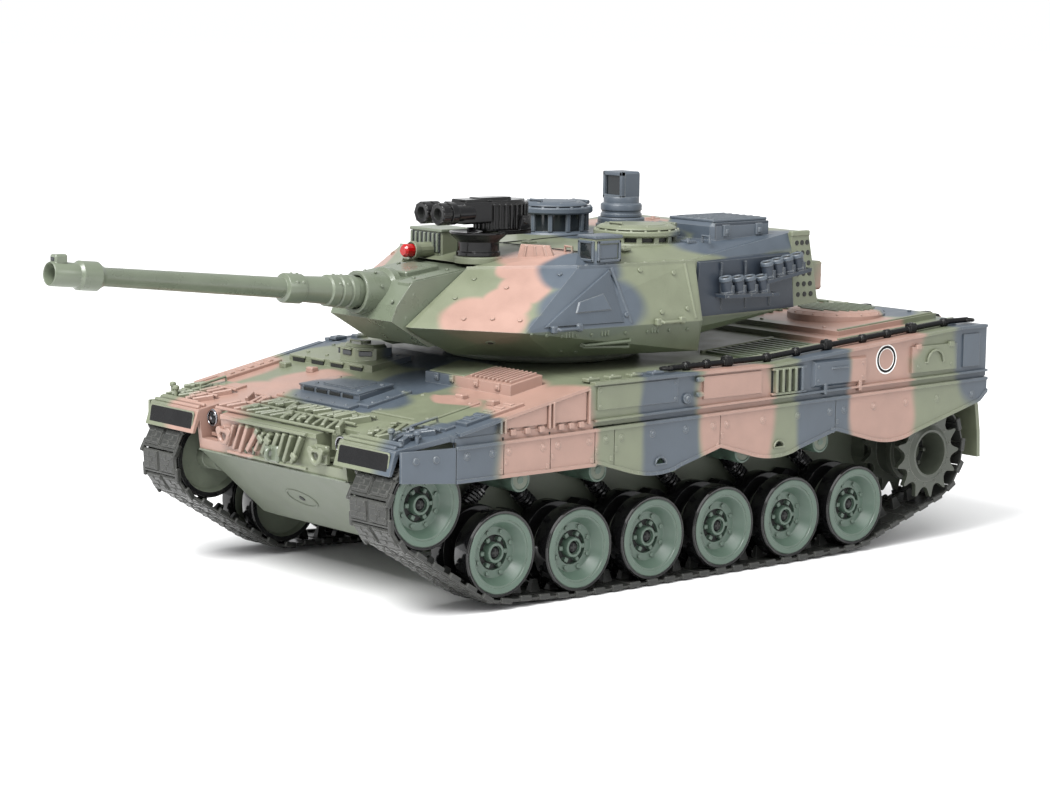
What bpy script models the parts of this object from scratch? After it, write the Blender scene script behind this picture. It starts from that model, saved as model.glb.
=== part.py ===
"""Radio controlled model of a modern main battle tank, built as an assembly of separate parts.

The tank stands on z = 0 with its gun pointing along -y and its left side at +x. Lengths below are in
millimetres, in the hull's own frame: x from the centre line, y back from the mudguards, z up from the ground.
"""

import math

import bmesh
import bpy
from mathutils import Matrix, Vector

MM = 0.001
GAP = 0.3
RUNNING_GAP = 0.1
WELD = 1e-6
HOLE_STEPS = 16
CENTRE_Y = 123.34  # the middle of the whole length, measured in the hull's frame

# Hull
HALF_WIDTH = 94.0
SKIRT_INNER_X = 91.8
SPONSON_X = 91.5
TUB_X = 52.3
WALL = 2.4
BELLY_Z = 20.0
SPONSON_Z = 72.0
NOSE_Z = 53.1
DECK_Z = 90.0
TAIL_Z = 98.5
FENDER_Y = 27.4
TAIL_Y = 343.5
SKIRT_HOLES_YZ = ((137.7, 53.2), (207.5, 54.0))
SKIRT_HOLE_R = 2.6
TOW_ROD_X = 84.0
RISE_Y = (205.0, 325.0)  # where the deck climbs to the tail
DECK_SLOPE = (TAIL_Z - DECK_Z) / (RISE_Y[1] - RISE_Y[0])

# Running gear
ROAD_WHEEL_Y = (57.6, 99.6, 141.0, 182.3, 223.4, 264.2)
ROAD_WHEEL_Z = (23.1, 20.5, 20.5, 20.5, 20.5, 21.5)
IDLER_YZ = (18.8, 46.9)
SPROCKET_YZ = (311.0, 40.8)
ROLLER_Y = (69.0, 111.0, 153.0, 195.0, 243.0)
ROLLER_Z = 52.0
ROLLER_R = 4.8
TYRE_R = 18.0
RIM_R = 17.3
WHEEL_X = (62.6, 86.8)
AXLE_R = 2.0
PIVOT_R = 3.0
ARM_X = (54.0, 60.5)
ARM_OFFSET = (-17.0, 10.0)
TRACK_X = (61.0, 87.9)
TRACK_INNER_Z = 2.2
LINK_PITCH = 10.0
GROUSER = 0.7
TOOTH_TIP_R = 21.9
TOOTH_ROOT_R = 15.6
TEETH = 13

# Turret and gun
TURRET_Y = 151.0
RING_R = 43.0
RING_Z = (90.4, 95.2)
TURRET_FLOOR_Z = 95.6
CHINE_Z = 109.0
SHOULDER_Z = 134.0
ROOF_Z = 139.5
GUN_TILT = math.radians(6.02)
TRUNNION_YZ = (95.0, 117.3)
MUZZLE_Y = -99.8
SLOT_X = 21.5
COMMANDER_TOP_Z = 154.5
LOADER_TOP_Z = 148.4
COMMANDER_XY = (-26.0, 179.5)
LOADER_XY = (33.0, 177.0)
LID = 2.6
PERISCOPE_XY = (-17.0, 213.0)
MG_XY = (14.0, 103.0)
MG_PIVOT_YZ = (120.0, 151.0)
LAMP_XZ = (-16.0, 136.6)

OLIVE = (0.165, 0.19, 0.125)
SAGE = (0.2, 0.245, 0.185)
DARK_GREEN = (0.05, 0.07, 0.05)
SLATE = (0.13, 0.155, 0.18)
BLACK = (0.012, 0.012, 0.013)
RED = (0.5, 0.02, 0.015)


def clear_scene():
    for obj in list(bpy.data.objects):
        bpy.data.objects.remove(obj, do_unlink=True)


def collection(name):
    made = bpy.data.collections.new(name)
    bpy.context.scene.collection.children.link(made)
    return made


def at(x, y, z):
    """A point of the hull's frame, in metres in the model's frame."""
    return Vector((x, y - CENTRE_Y, z)) * MM


def paint(name, colour, roughness=0.45, metallic=0.0):
    material = bpy.data.materials.new(name)
    material.use_nodes = True
    shader = material.node_tree.nodes["Principled BSDF"]
    shader.inputs["Base Color"].default_value = (*colour, 1)
    shader.inputs["Roughness"].default_value = roughness
    shader.inputs["Metallic"].default_value = metallic
    return material


def new_object(name, mesh, material=None, origin=None):
    """The mesh, given in the model's frame in metres, as an object with its origin at a point."""
    if origin is not None:
        mesh.transform(Matrix.Translation(-origin))
    obj = bpy.data.objects.new(name, mesh)
    if origin is not None:
        obj.location = origin
    if material is None:
        TOOLS.objects.link(obj)
        obj.hide_render = True
        obj.display_type = "WIRE"
    else:
        PARTS.objects.link(obj)
        mesh.materials.append(material)
    return obj


def block_mesh(low, high, bevel=0.0):
    bm = bmesh.new()
    bmesh.ops.create_cube(bm, size=1)
    size = Vector(high) - Vector(low)
    middle = (Vector(high) + Vector(low)) / 2
    bmesh.ops.scale(bm, vec=size * MM, verts=bm.verts)
    bmesh.ops.translate(bm, vec=at(*middle), verts=bm.verts)
    if bevel:
        bmesh.ops.bevel(bm, geom=bm.edges[:], offset=bevel * MM, segments=1, affect="EDGES")
    return finished(bm)


def finished(bm):
    mesh = bpy.data.meshes.new("shape")
    bm.to_mesh(mesh)
    bm.free()
    return mesh


def hull_mesh(points):
    """The convex solid with these corners."""
    bm = bmesh.new()
    for point in points:
        bm.verts.new(at(*point))
    bmesh.ops.convex_hull(bm, input=bm.verts)
    loose = [v for v in bm.verts if not v.link_faces]
    bmesh.ops.delete(bm, geom=loose, context="VERTS")
    bmesh.ops.dissolve_limit(bm, angle_limit=math.radians(0.5), verts=bm.verts, edges=bm.edges)
    return finished(bm)


def sliced(layers):
    """Corners of a left-right symmetric solid, from (half width, y, z) entries."""
    return [(side * x, y, z) for x, y, z in layers for side in (-1, 1)]


def curve_mesh(curve):
    """A curve's solid as a mesh, its caps welded on."""
    guide = bpy.data.objects.new("guide", curve)
    TOOLS.objects.link(guide)
    graph = bpy.context.evaluated_depsgraph_get()
    mesh = bpy.data.meshes.new_from_object(guide.evaluated_get(graph))
    bpy.data.objects.remove(guide)
    bm = bmesh.new()
    bm.from_mesh(mesh)
    bmesh.ops.remove_doubles(bm, verts=bm.verts, dist=WELD)
    bm.to_mesh(mesh)
    bm.free()
    return mesh


def outline_mesh(loops, thickness):
    """A flat outline in xy, thickened along z, from closed loops of (x, y) points in millimetres."""
    curve = bpy.data.curves.new("outline", "CURVE")
    curve.dimensions = "2D"
    curve.fill_mode = "BOTH"
    curve.extrude = thickness / 2 * MM
    for loop in loops:
        spline = curve.splines.new("POLY")
        spline.points.add(len(loop) - 1)
        for point, (x, y) in zip(spline.points, loop):
            point.co = (x * MM, y * MM, 0, 1)
        spline.use_cyclic_u = True
    return curve_mesh(curve)


def side_mesh(loops, x0, x1):
    """An outline in (y, z), running across the tank from x0 to x1."""
    mesh = outline_mesh(loops, abs(x1 - x0))
    turn = Matrix(((0, 0, 1), (1, 0, 0), (0, 1, 0))).to_4x4()
    mesh.transform(Matrix.Translation(at((x0 + x1) / 2, 0, 0)) @ turn)
    return mesh


def plan_mesh(loops, z0, z1):
    """An outline in (x, y), standing from z0 to z1."""
    mesh = outline_mesh(loops, z1 - z0)
    mesh.transform(Matrix.Translation(at(0, 0, (z0 + z1) / 2)))
    return mesh


def turned_mesh(profile, steps, closed=False):
    """A solid turned about z from (radius, height) points that run down its outer side."""
    bm = bmesh.new()
    verts = [bm.verts.new((r * MM, 0, h * MM)) for r, h in profile]
    pairs = list(zip(verts, verts[1:]))
    if closed:
        pairs.append((verts[-1], verts[0]))
    for pair in pairs:
        bm.edges.new(pair)
    guide = bpy.data.objects.new("guide", finished(bm))
    TOOLS.objects.link(guide)
    screw = guide.modifiers.new("turn", "SCREW")
    screw.steps = steps
    screw.render_steps = steps
    screw.use_merge_vertices = True
    screw.merge_threshold = WELD
    graph = bpy.context.evaluated_depsgraph_get()
    mesh = bpy.data.meshes.new_from_object(guide.evaluated_get(graph))
    bpy.data.objects.remove(guide)
    mesh.shade_smooth()
    mesh.set_sharp_from_angle(angle=math.radians(35))
    return mesh


def turned_on_x(profile, steps, y, z, side=1, closed=False):
    """Turned about an axis across the tank: heights are x, measured towards the given side."""
    mesh = turned_mesh(profile, steps, closed)
    mesh.transform(Matrix.Rotation(side * math.pi / 2, 4, "Y"))
    mesh.transform(Matrix.Translation(at(0, y, z)))
    return mesh


def turned_on_y(profile, steps, x, y, z):
    """Turned about an axis along the tank: heights run forward from the given place."""
    mesh = turned_mesh(profile, steps)
    mesh.transform(Matrix.Rotation(math.pi / 2, 4, "X"))
    mesh.transform(Matrix.Translation(at(x, y, z)))
    return mesh


def turned_on_z(profile, steps, x, y, closed=False):
    mesh = turned_mesh(profile, steps, closed)
    mesh.transform(Matrix.Translation(at(x, y, 0)))
    return mesh


def pin_on_x(radius, x0, x1, y, z, steps=10):
    low, high = sorted((x0, x1))
    return turned_on_x([(0, high), (radius, high), (radius, low), (0, low)], steps, y, z)


def combine(obj, tool_mesh, operation):
    tool = new_object(obj.name + "_" + operation.lower(), tool_mesh)
    step = obj.modifiers.new(operation.lower(), "BOOLEAN")
    step.operation = operation
    step.solver = "EXACT"
    step.object = tool


def join(obj, mesh):
    combine(obj, mesh, "UNION")


def cut(obj, mesh):
    combine(obj, mesh, "DIFFERENCE")


def arc(y, z, radius, start, end, count):
    """Points on a circle from one angle to another, in degrees."""
    angles = [math.radians(start + (end - start) * i / (count - 1)) for i in range(count)]
    return [(y + radius * math.cos(a), z + radius * math.sin(a)) for a in angles]


# ---------------------------------------------------------------- hull


def build_tub():
    outline = [(5.8, NOSE_Z - GAP), (38.4, 22.8), (46, BELLY_Z), (318, BELLY_Z), (334, 36),
               (338, SPONSON_Z - GAP), (26, SPONSON_Z - GAP), (26, NOSE_Z - GAP)]
    room = [(30, 50), (42, 26), (50, BELLY_Z + WALL), (316, BELLY_Z + WALL), (331, 38),
            (333, SPONSON_Z + 5), (30, SPONSON_Z + 5)]
    tub = new_object("hull_tub", side_mesh([outline], -TUB_X, TUB_X), MATERIALS["sage"])
    cut(tub, side_mesh([room], WALL - TUB_X, TUB_X - WALL))
    for y, z in zip(ROAD_WHEEL_Y, ROAD_WHEEL_Z):
        pivot = (y + ARM_OFFSET[0], z + ARM_OFFSET[1])
        cut(tub, pin_on_x(PIVOT_R + RUNNING_GAP, -TUB_X - 5, TUB_X + 5, *pivot, HOLE_STEPS))
    for side in (-1, 1):
        for y in ROLLER_Y:
            join(tub, pin_on_x(ROLLER_R, side * (TUB_X - 1), side * 84, y, ROLLER_Z, 10))
        join(tub, pin_on_x(14.5, side * (TUB_X - 1), side * 60.5, *SPROCKET_YZ, 20))
    for centre in (IDLER_YZ, SPROCKET_YZ):
        cut(tub, pin_on_x(PIVOT_R + RUNNING_GAP, -TUB_X - 12, TUB_X + 12, *centre, HOLE_STEPS))
    cut(tub, block_mesh((-22, 180, BELLY_Z - 5), (22, 250, BELLY_Z + 5)))
    cut(tub, block_mesh((31.5, 96.5, BELLY_Z - 5), (36.5, 106.5, BELLY_Z + 5)))


def deck_top():
    """The hull's upper outline from nose to tail."""
    return [(3.2, 70.2), (100, DECK_Z - 1), (106, DECK_Z), (RISE_Y[0], DECK_Z), (RISE_Y[1], TAIL_Z),
            (TAIL_Y, TAIL_Z)]


def build_deck():
    deck_line = deck_top()
    body = [(FENDER_Y, 74.7)] + deck_line[1:] + [(TAIL_Y, 75), (338, SPONSON_Z), (FENDER_Y, SPONSON_Z)]
    deck = new_object("hull_deck", side_mesh([body], -SPONSON_X, SPONSON_X), MATERIALS["olive"])
    fender = sliced([(86.4, 3, 68.4), (86.4, 3.2, 70.2), (SPONSON_X, FENDER_Y + 4, SPONSON_Z + 1),
                     (SPONSON_X, FENDER_Y + 4, 75.4)])
    join(deck, hull_mesh(fender))
    nose = sliced([(TUB_X, 5.5, NOSE_Z), (TUB_X, 3.4, 69), (TUB_X, 26 - GAP, NOSE_Z), (TUB_X, 26 - GAP, 74)])
    join(deck, hull_mesh(nose))
    for side in (-1, 1):
        plate = [(side * x, y, z) for x in (50, 86.4)
                 for y, z in ((0, 60.3), (1.4, 60.3), (2.9, 69.6), (5.4, 69.6))]
        join(deck, hull_mesh(plate))
        cut(deck, block_mesh((min(side * 34, side * 50), -5, 58), (max(side * 34, side * 50), 14, 80)))
    room = [(45, SPONSON_Z - 5), (45, SPONSON_Z + 3), (105, 84), (205, 87), (325, 94), (330, 94),
            (330, SPONSON_Z - 5)]
    cut(deck, side_mesh([room], 6 - TUB_X, TUB_X - 6))
    cut(deck, turned_on_z([(0, 100), (30, 100), (30, 80), (0, 80)], 24, 0, TURRET_Y))
    add_driver_station(deck)
    add_engine_cover(deck)
    stowage = [(14, 75, 84), (70, 75, 84), (70, 75, 88.5), (14, 75, 88.5), (70, 92, 84), (14, 95, 84),
               (70, 92, 91.6), (14, 95, 92.4)]
    join(deck, hull_mesh(stowage))


def add_driver_station(deck):
    join(deck, hull_mesh([(-29, 41, 75), (13, 41, 75), (-29, 41, 80.5), (13, 41, 80.5),
                          (-24, 61, 78), (10, 61, 78), (-24, 61, 83), (10, 61, 83)]))
    join(deck, hull_mesh([(-80, 72, 80), (-22, 74, 80), (-80, 72, 86.2), (-22, 74, 86.8),
                          (-80, 98, 85), (-20, 94, 85), (-80, 98, 90.2), (-20, 94, 90)]))
    octagon = [(-42 + 14 * math.cos(a), 86 + 11 * math.sin(a))
               for a in (math.radians(22.5 + 45 * i) for i in range(8))]
    join(deck, plan_mesh([octagon], 85, 93))


def add_engine_cover(deck):
    for half, y0, y1, height in ((81, 256, 334, 2.2), (73, 264, 329, 4.4)):
        z0 = DECK_Z + DECK_SLOPE * (y0 - RISE_Y[0])
        z1 = DECK_Z + DECK_SLOPE * (min(y1, RISE_Y[1]) - RISE_Y[0])
        corners = sliced([(half, y0, z0 - 4), (half, y0, z0 + height), (half, y1, z1 - 4),
                          (half, y1, z1 + height)])
        join(deck, hull_mesh(corners))
    for side in (-1, 1):
        join(deck, turned_on_z([(0, 104), (21, 104), (22.5, 102.5), (22.5, 92), (0, 92)], 24,
                               side * 39, 298))


def skirt_outline():
    """The scalloped lower edge, from the rear of the front panels to the tail."""
    peaks = ((102.0, 56.6), (172.4, 57.0), (243.0, 58.0))
    lows = ((135.5, 48.5), (205.4, 49.2), (279.0, 49.6))
    points = [(FENDER_Y, 55.6), (101.0, 55.6)]
    for (peak_y, peak_z), (low_y, low_z) in zip(peaks, lows):
        points.append((peak_y, peak_z))
        points += [(low_y - 14, low_z + 2.2), (low_y - 5, low_z + 0.2), (low_y + 5, low_z + 0.2)]
        points.append((low_y + 14, low_z + 2.6))
    return points + [(338.0, 63.4), (TAIL_Y - 0.5, 67.5)]


def build_skirt(side, name):
    top = [(TAIL_Y - 0.5, 74.5), (FENDER_Y, 70.4)]
    x0, x1 = side * SKIRT_INNER_X, side * HALF_WIDTH
    skirt = new_object(name, side_mesh([skirt_outline() + top], x0, x1), MATERIALS["slate"])
    bent = [(side * x, y, z) for x, y in ((HALF_WIDTH, FENDER_Y + 1), (SKIRT_INNER_X, FENDER_Y + 1),
                                          (88.3, 3.6), (89.8, 3.6))
            for z in (57.6 if y < 10 else 55.6, 70.0)]
    join(skirt, hull_mesh(bent))
    for y, z in SKIRT_HOLES_YZ:
        cut(skirt, side_mesh([arc(y, z, SKIRT_HOLE_R, 0, 180, 9)], side * 85, side * 99))


def build_mudflap(side, name):
    outline = [(338.4, SPONSON_Z - GAP), (341.4, SPONSON_Z - GAP), (344.6, 60), (346.4, 48), (347, 36),
               (345, 36), (344.3, 48), (342.4, 60)]
    new_object(name, side_mesh([outline], side * 57, side * 87), MATERIALS["dark_green"])


def build_tow_rod(side, name):
    """A towing rod with end fittings and clamps, lying along the edge of the deck."""
    curve = bpy.data.curves.new(name, "CURVE")
    curve.dimensions = "3D"
    curve.bevel_depth = 1.25 * MM
    curve.bevel_resolution = 2
    curve.use_fill_caps = True
    spline = curve.splines.new("POLY")
    route = [(side * TOW_ROD_X, 150, DECK_Z + 1.6), (side * TOW_ROD_X, RISE_Y[0], DECK_Z + 1.9),
             (side * TOW_ROD_X, RISE_Y[1], TAIL_Z + 1.9), (side * TOW_ROD_X, 338, TAIL_Z + 1.9)]
    spline.points.add(len(route) - 1)
    for point, place in zip(spline.points, route):
        point.co = (*at(*place), 1)
    rod = new_object(name, curve_mesh(curve), MATERIALS["black"])
    for y in (184, 245, 300):
        z = DECK_Z + max(0, y - RISE_Y[0]) * DECK_SLOPE
        low = (side * TOW_ROD_X - 2, y - 2.5, z + GAP)
        high = (side * TOW_ROD_X + 2, y + 2.5, z + 4.4)
        join(rod, block_mesh(low, high))


def build_headlight(side, name):
    lens = [(0, 8), (3.2, 8), (3.8, 7), (3.8, 0), (0, 0)]
    new_object(name, turned_on_y(lens, 16, side * 45.5, 14 - GAP, 67), MATERIALS["clear"])


def build_internals():
    new_object("battery_pack", block_mesh((-20, 183, 24), (20, 247, 46), 2), MATERIALS["black"])
    new_object("circuit_board", block_mesh((-30, 90, 38), (30, 165, 40)), MATERIALS["dark_green"])
    for side, name in ((1, "gearbox_left"), (-1, "gearbox_right")):
        low = (side * (TUB_X - WALL - 2), 274, 26)
        high = (side * 8, 318, 58)
        gearbox = new_object(name, block_mesh([min(a, b) for a, b in zip(low, high)],
                                              [max(a, b) for a, b in zip(low, high)], 1.5),
                             MATERIALS["black"])
        join(gearbox, turned_on_y([(0, 26), (7, 26), (7, 0), (0, 0)], 16, side * 24, 276, 42))
    cover = block_mesh((-26, 176, BELLY_Z - GAP - 2.2), (26, 254, BELLY_Z - GAP), 0.5)
    new_object("battery_cover", cover, MATERIALS["black"], at(0, 215, BELLY_Z - GAP))
    switch = new_object("power_switch", block_mesh((32, 97, BELLY_Z - 2), (36, 101, BELLY_Z + 6)),
                        MATERIALS["black"], at(34, 99, BELLY_Z))
    join(switch, block_mesh((29.5, 95, BELLY_Z + WALL + GAP), (38.5, 103, BELLY_Z + WALL + 3)))


# ---------------------------------------------------------------- running gear


def wheel_profile():
    """A dished wheel with two tyres and the groove between them, from the hub cap round to the axle bore."""
    inner, outer = WHEEL_X
    return [(0, 82.6), (4.2, 82.2), (4.2, 80.6), (10.6, 81.0), (13.2, outer - 0.4), (RIM_R, outer),
            (TYRE_R, outer - 0.6), (TYRE_R, 77.6), (12.5, 77.0), (12.5, 71.4), (TYRE_R, 70.8),
            (TYRE_R, inner), (AXLE_R + RUNNING_GAP, inner), (AXLE_R + RUNNING_GAP, 80), (0, 80)]


def build_wheel(side, name, y, z):
    new_object(name, turned_on_x(wheel_profile(), 16, y, z, side), MATERIALS["sage"], at(side * 75, y, z))


def build_idler(side, name):
    inner = WHEEL_X[0]
    profile = wheel_profile()[:-3]
    profile += [(5, inner), (5, TUB_X + 1.2), (PIVOT_R, TUB_X + 1.2), (PIVOT_R, TUB_X - WALL),
                (0, TUB_X - WALL)]
    y, z = IDLER_YZ
    new_object(name, turned_on_x(profile, 16, y, z, side), MATERIALS["sage"], at(side * 75, y, z))


def build_swing_arm(side, name, y, z):
    pivot_y, pivot_z = y + ARM_OFFSET[0], z + ARM_OFFSET[1]
    slope = math.degrees(math.atan2(-ARM_OFFSET[1], -ARM_OFFSET[0]))
    link = arc(pivot_y, pivot_z, 5, slope + 90, slope + 270, 5) + arc(y, z, 4.2, slope - 90, slope + 90, 5)
    arm = new_object(name, side_mesh([link], side * ARM_X[0], side * ARM_X[1]), MATERIALS["black"],
                     at(side * ARM_X[0], pivot_y, pivot_z))
    join(arm, pin_on_x(PIVOT_R, side * (TUB_X - WALL), side * (ARM_X[0] + 1), pivot_y, pivot_z))
    join(arm, pin_on_x(AXLE_R, side * (ARM_X[1] - 1), side * 79.5, y, z))


def star(centre, tip, root, teeth):
    """A toothed disc's outline, its teeth pointed."""
    y, z = centre
    points = []
    for i in range(teeth):
        for turn, radius in ((0, tip), (0.28, root + 1.2), (0.5, root), (0.72, root + 1.2)):
            angle = 2 * math.pi * (i + turn) / teeth
            points.append((y + radius * math.cos(angle), z + radius * math.sin(angle)))
    return points


def build_sprocket(side, name):
    y, z = SPROCKET_YZ
    profile = [(0, 78), (9.4, 78), (9.4, 88.4), (11, 88.4), (13, 86.8), (13, 63.4), (8, 63.0), (8, 61.2),
               (PIVOT_R, 61.2), (PIVOT_R, TUB_X - WALL), (0, TUB_X - WALL)]
    hub = turned_on_x(profile, 18, y, z, side)
    sprocket = new_object(name, hub, MATERIALS["olive"], at(side * 75, y, z))
    toothed_ring = [star(SPROCKET_YZ, TOOTH_TIP_R, TOOTH_ROOT_R, TEETH), arc(y, z, 11.2, 0, 340, 18)]
    for x0, x1 in ((84.4, 86.8), (63.8, 66.2)):
        join(sprocket, side_mesh(toothed_ring, side * x0, side * x1))


def belt(offset):
    """The track's loop seen from the side, at a distance outside its running surface."""
    idler, sprocket = (*IDLER_YZ, TYRE_R + GAP), (*SPROCKET_YZ, TOOTH_TIP_R + GAP)
    first = (ROAD_WHEEL_Y[0], ROAD_WHEEL_Z[0], TYRE_R + GAP)
    second = (ROAD_WHEEL_Y[1], ROAD_WHEEL_Z[1], TYRE_R + GAP)
    fifth = (ROAD_WHEEL_Y[4], ROAD_WHEEL_Z[4], TYRE_R + GAP)
    last = (ROAD_WHEEL_Y[5], ROAD_WHEEL_Z[5], TYRE_R + GAP)
    circles = [idler, first, second, fifth, last, sprocket]
    headings = [90.0]
    for (y0, z0, r0), (y1, z1, r1) in zip(circles, circles[1:]):
        along = math.atan2(z1 - z0, y1 - y0)
        swing = math.asin((r1 - r0) / math.hypot(y1 - y0, z1 - z0))
        headings.append(math.degrees(along - math.pi / 2 - swing))
    headings.append(90.0)
    points = []
    for (y, z, r), start, end in zip(circles, headings, headings[1:]):
        start, end = start % 360, end % 360 + (360 if end % 360 < start % 360 else 0)
        if (y, z, r) == idler:
            start = 90.0
        count = max(2, round((end - start) / 14) + 1)
        points += arc(y, z, r + offset, start, end, count)
    return points + top_run(points[-1], points[0])


def top_run(rear, front):
    """The upper run, which sags on to the return rollers."""
    sag = 6.6
    count = 12
    points = []
    for i in range(1, count):
        t = i / count
        drop = sag * (1 - abs(2 * t - 1) ** 4)
        points.append((rear[0] + (front[0] - rear[0]) * t, rear[1] + (front[1] - rear[1]) * t - drop))
    return points


def grousered(inner, outer):
    """The outer loop again, with a raised pad on every link."""
    lengths = [0.0]
    closed = outer + outer[:1]
    for (y0, z0), (y1, z1) in zip(closed, closed[1:]):
        lengths.append(lengths[-1] + math.hypot(y1 - y0, z1 - z0))
    links = round(lengths[-1] / LINK_PITCH)
    low, high = inner + inner[:1], closed
    points = []
    for link in range(links):
        for part, rise in ((0.04, 0), (0.12, 1), (0.88, 1), (0.96, 0)):
            place = (link + part) / links * lengths[-1]
            i = max(k for k in range(len(outer)) if lengths[k] <= place)
            t = (place - lengths[i]) / (lengths[i + 1] - lengths[i])
            for_ring = [[a + (b - a) * t for a, b in zip(ring[i], ring[i + 1])] for ring in (low, high)]
            points.append(tuple(a + (b - a) * rise for a, b in zip(*for_ring)))
    return points


def build_track(side, name):
    thick = TRACK_INNER_Z
    outer = grousered(belt(thick - GROUSER), belt(thick))
    mesh = side_mesh([outer, belt(0)], side * TRACK_X[0], side * TRACK_X[1])
    new_object(name, mesh, MATERIALS["black"])


# ---------------------------------------------------------------- turret


def build_turret_ring():
    low, high = RING_Z
    profile = [(27, high), (RING_R, high), (RING_R + 1, low + 1.2), (RING_R, low), (27, low)]
    ring = new_object("turret_ring", turned_on_z(profile, 28, 0, TURRET_Y, closed=True),
                      MATERIALS["dark_green"], at(0, TURRET_Y, low))
    neck = [(22, low + 1), (27.5, low + 1), (27.5, 82), (22, 82)]
    join(ring, turned_on_z(neck, 24, 0, TURRET_Y, closed=True))


def build_turret_shell():
    core = sliced([(53, 113, TURRET_FLOOR_Z), (70, 180, TURRET_FLOOR_Z), (16, 80, TURRET_FLOOR_Z),
                   (25, 58, CHINE_Z), (67, 85, CHINE_Z), (73, 178, CHINE_Z), (72.6, 180, CHINE_Z),
                   (22, 90.5, 131.7), (60.5, 119, SHOULDER_Z), (67, 180, SHOULDER_Z)])
    shell = new_object("turret_shell", hull_mesh(core), MATERIALS["olive"],
                       at(0, TURRET_Y, TURRET_FLOOR_Z))
    bustle = sliced([(50, 176, TURRET_FLOOR_Z + 0.5), (64, 176, 104), (46, 236, 104.5),
                     (60, 176, TURRET_FLOOR_Z + 4), (65, 176, 109.5), (63.5, 243, 110.5),
                     (56, 256, 112), (65, 176, SHOULDER_Z),
                     (63, 244, 135.5), (57, 256, 143), (60, 244, 143)])
    join(shell, hull_mesh(bustle))
    roof = sliced([(22, 92, 131.9), (56, 121, SHOULDER_Z), (50, 128, 138.5), (22, 104, 134.8),
                   (50, 180, ROOF_Z + 0.5), (64, 180, SHOULDER_Z), (56.5, 255.5, 143), (60, 245, 141),
                   (62, 240, 134)])
    join(shell, hull_mesh(roof))
    y, z = TRUNNION_YZ
    slot = [(40, 150), (40, 80), (y, 80)] + arc(y, z, 15.8, -90, 90, 13) + [(y, 150)]
    cut(shell, side_mesh([slot], -SLOT_X, SLOT_X))
    room = sliced([(40, 122, 90), (40, 122, 125), (50, 176, 90), (50, 176, 129), (40, 235, 113),
                   (40, 235, 132), (40, 180, 100)])
    cut(shell, hull_mesh(room))
    add_roof_fittings(shell)
    for side in (-1, 1):
        cut(shell, pin_on_x(2.6, side * (SLOT_X - 1), side * (SLOT_X + 6), *TRUNNION_YZ, 24))


def add_roof_fittings(shell):
    for (x, y), radius, top in ((COMMANDER_XY, 17.5, COMMANDER_TOP_Z), (LOADER_XY, 18.5, LOADER_TOP_Z)):
        seat = [(0, top - LID), (radius, top - LID), (radius, top - LID - 2.6), (radius - 3, top - LID - 3.2),
                (radius - 3, ROOF_Z - 4), (0, ROOF_Z - 4)]
        join(shell, turned_on_z(seat, 24, x, y))
    x, y = PERISCOPE_XY
    join(shell, turned_on_z([(0, 146), (10.4, 146), (10.4, ROOF_Z - 3), (0, ROOF_Z - 3)], 20, x, y))
    x, y = MG_XY
    join(shell, turned_on_z([(0, 136), (10.2, 136), (10.2, 133.4), (0, 133.4)], 20, x, y))
    join(shell, block_mesh((24, 202, ROOF_Z - 3), (55, 238, 149), 2))
    join(shell, block_mesh((50, 128, 131), (61, 143, 146), 1))
    join(shell, block_mesh((-30, 101, 133.4), (-9, 118, 145), 1))
    join(shell, block_mesh((-34, 254, 116), (58, 268.5, 129), 1))
    join(shell, turned_on_y([(0, 10.5), (3.3, 10.5), (3.3, -2), (0, -2)], 14, LAMP_XZ[0], 101.5, LAMP_XZ[1]))


def build_mantlet():
    y, z = TRUNNION_YZ
    around = [(side * SLOT_X - side * 0.4, *point)
              for point in arc(y, z, 14.6, -80, 80, 9) for side in (-1, 1)]
    nose = sliced([(SLOT_X - 0.4, 62, 127.4), (SLOT_X - 0.4, 54, 118), (SLOT_X - 0.4, 51, 111.5),
                   (SLOT_X - 0.4, 71, 99.6), (SLOT_X - 0.4, 92, 131.2), (SLOT_X - 0.4, 95, 102.5)])
    mantlet = new_object("mantlet", hull_mesh(around + nose), MATERIALS["sage"], at(0, y, z))
    for side in (-1, 1):
        join(mantlet, pin_on_x(2.5, side * (SLOT_X - 2), side * (SLOT_X + 5.5), y, z))
    cut(mantlet, on_gun([(0, 60), (7.6, 60), (7.6, -60), (0, -60)], 55, 20))
    collar = [(7.6 + GAP, 14), (9.1, 14), (9.1, -12), (7.6 + GAP, -12)]
    join(mantlet, on_gun(collar, 62, 24, closed=True))


def on_gun(profile, y, steps, closed=False):
    """Turned about the gun's axis, with heights running forward from the given place along it."""
    mesh = turned_mesh(profile, steps, closed)
    mesh.transform(Matrix.Rotation(math.pi / 2 - GUN_TILT, 4, "X"))
    z = TRUNNION_YZ[1] - (y - TRUNNION_YZ[0]) * math.tan(GUN_TILT)
    mesh.transform(Matrix.Translation(at(0, y, z)))
    return mesh


def build_barrel():
    """The gun tube from the muzzle back, with its bore and the small sight on the muzzle."""
    run = 1 / math.cos(GUN_TILT)
    stations = [(MUZZLE_Y, 4.9), (-87, 4.9), (-86.4, 5.9), (-78, 5.9), (-75, 3.8), (10.5, 4.35), (11.2, 6.2),
                (19.5, 6.2), (20.2, 5.4), (32.5, 5.8), (33, 6.6), (43, 7.0), (44, 6.4), (90, 6.4)]
    bore = [(0, -62), (3.0, -62), (3.0, -3), (3.9, 0)]
    tube_outside = [(radius, (MUZZLE_Y - y) * run) for y, radius in stations]
    breech = [(0, tube_outside[-1][1])]
    barrel = new_object("gun_barrel", on_gun(bore + tube_outside + breech, MUZZLE_Y, 16),
                        MATERIALS["sage"], at(0, *TRUNNION_YZ))
    join(barrel, block_mesh((-2.4, -98.6, 141.4), (2.4, -92.4, 146.2)))


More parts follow.
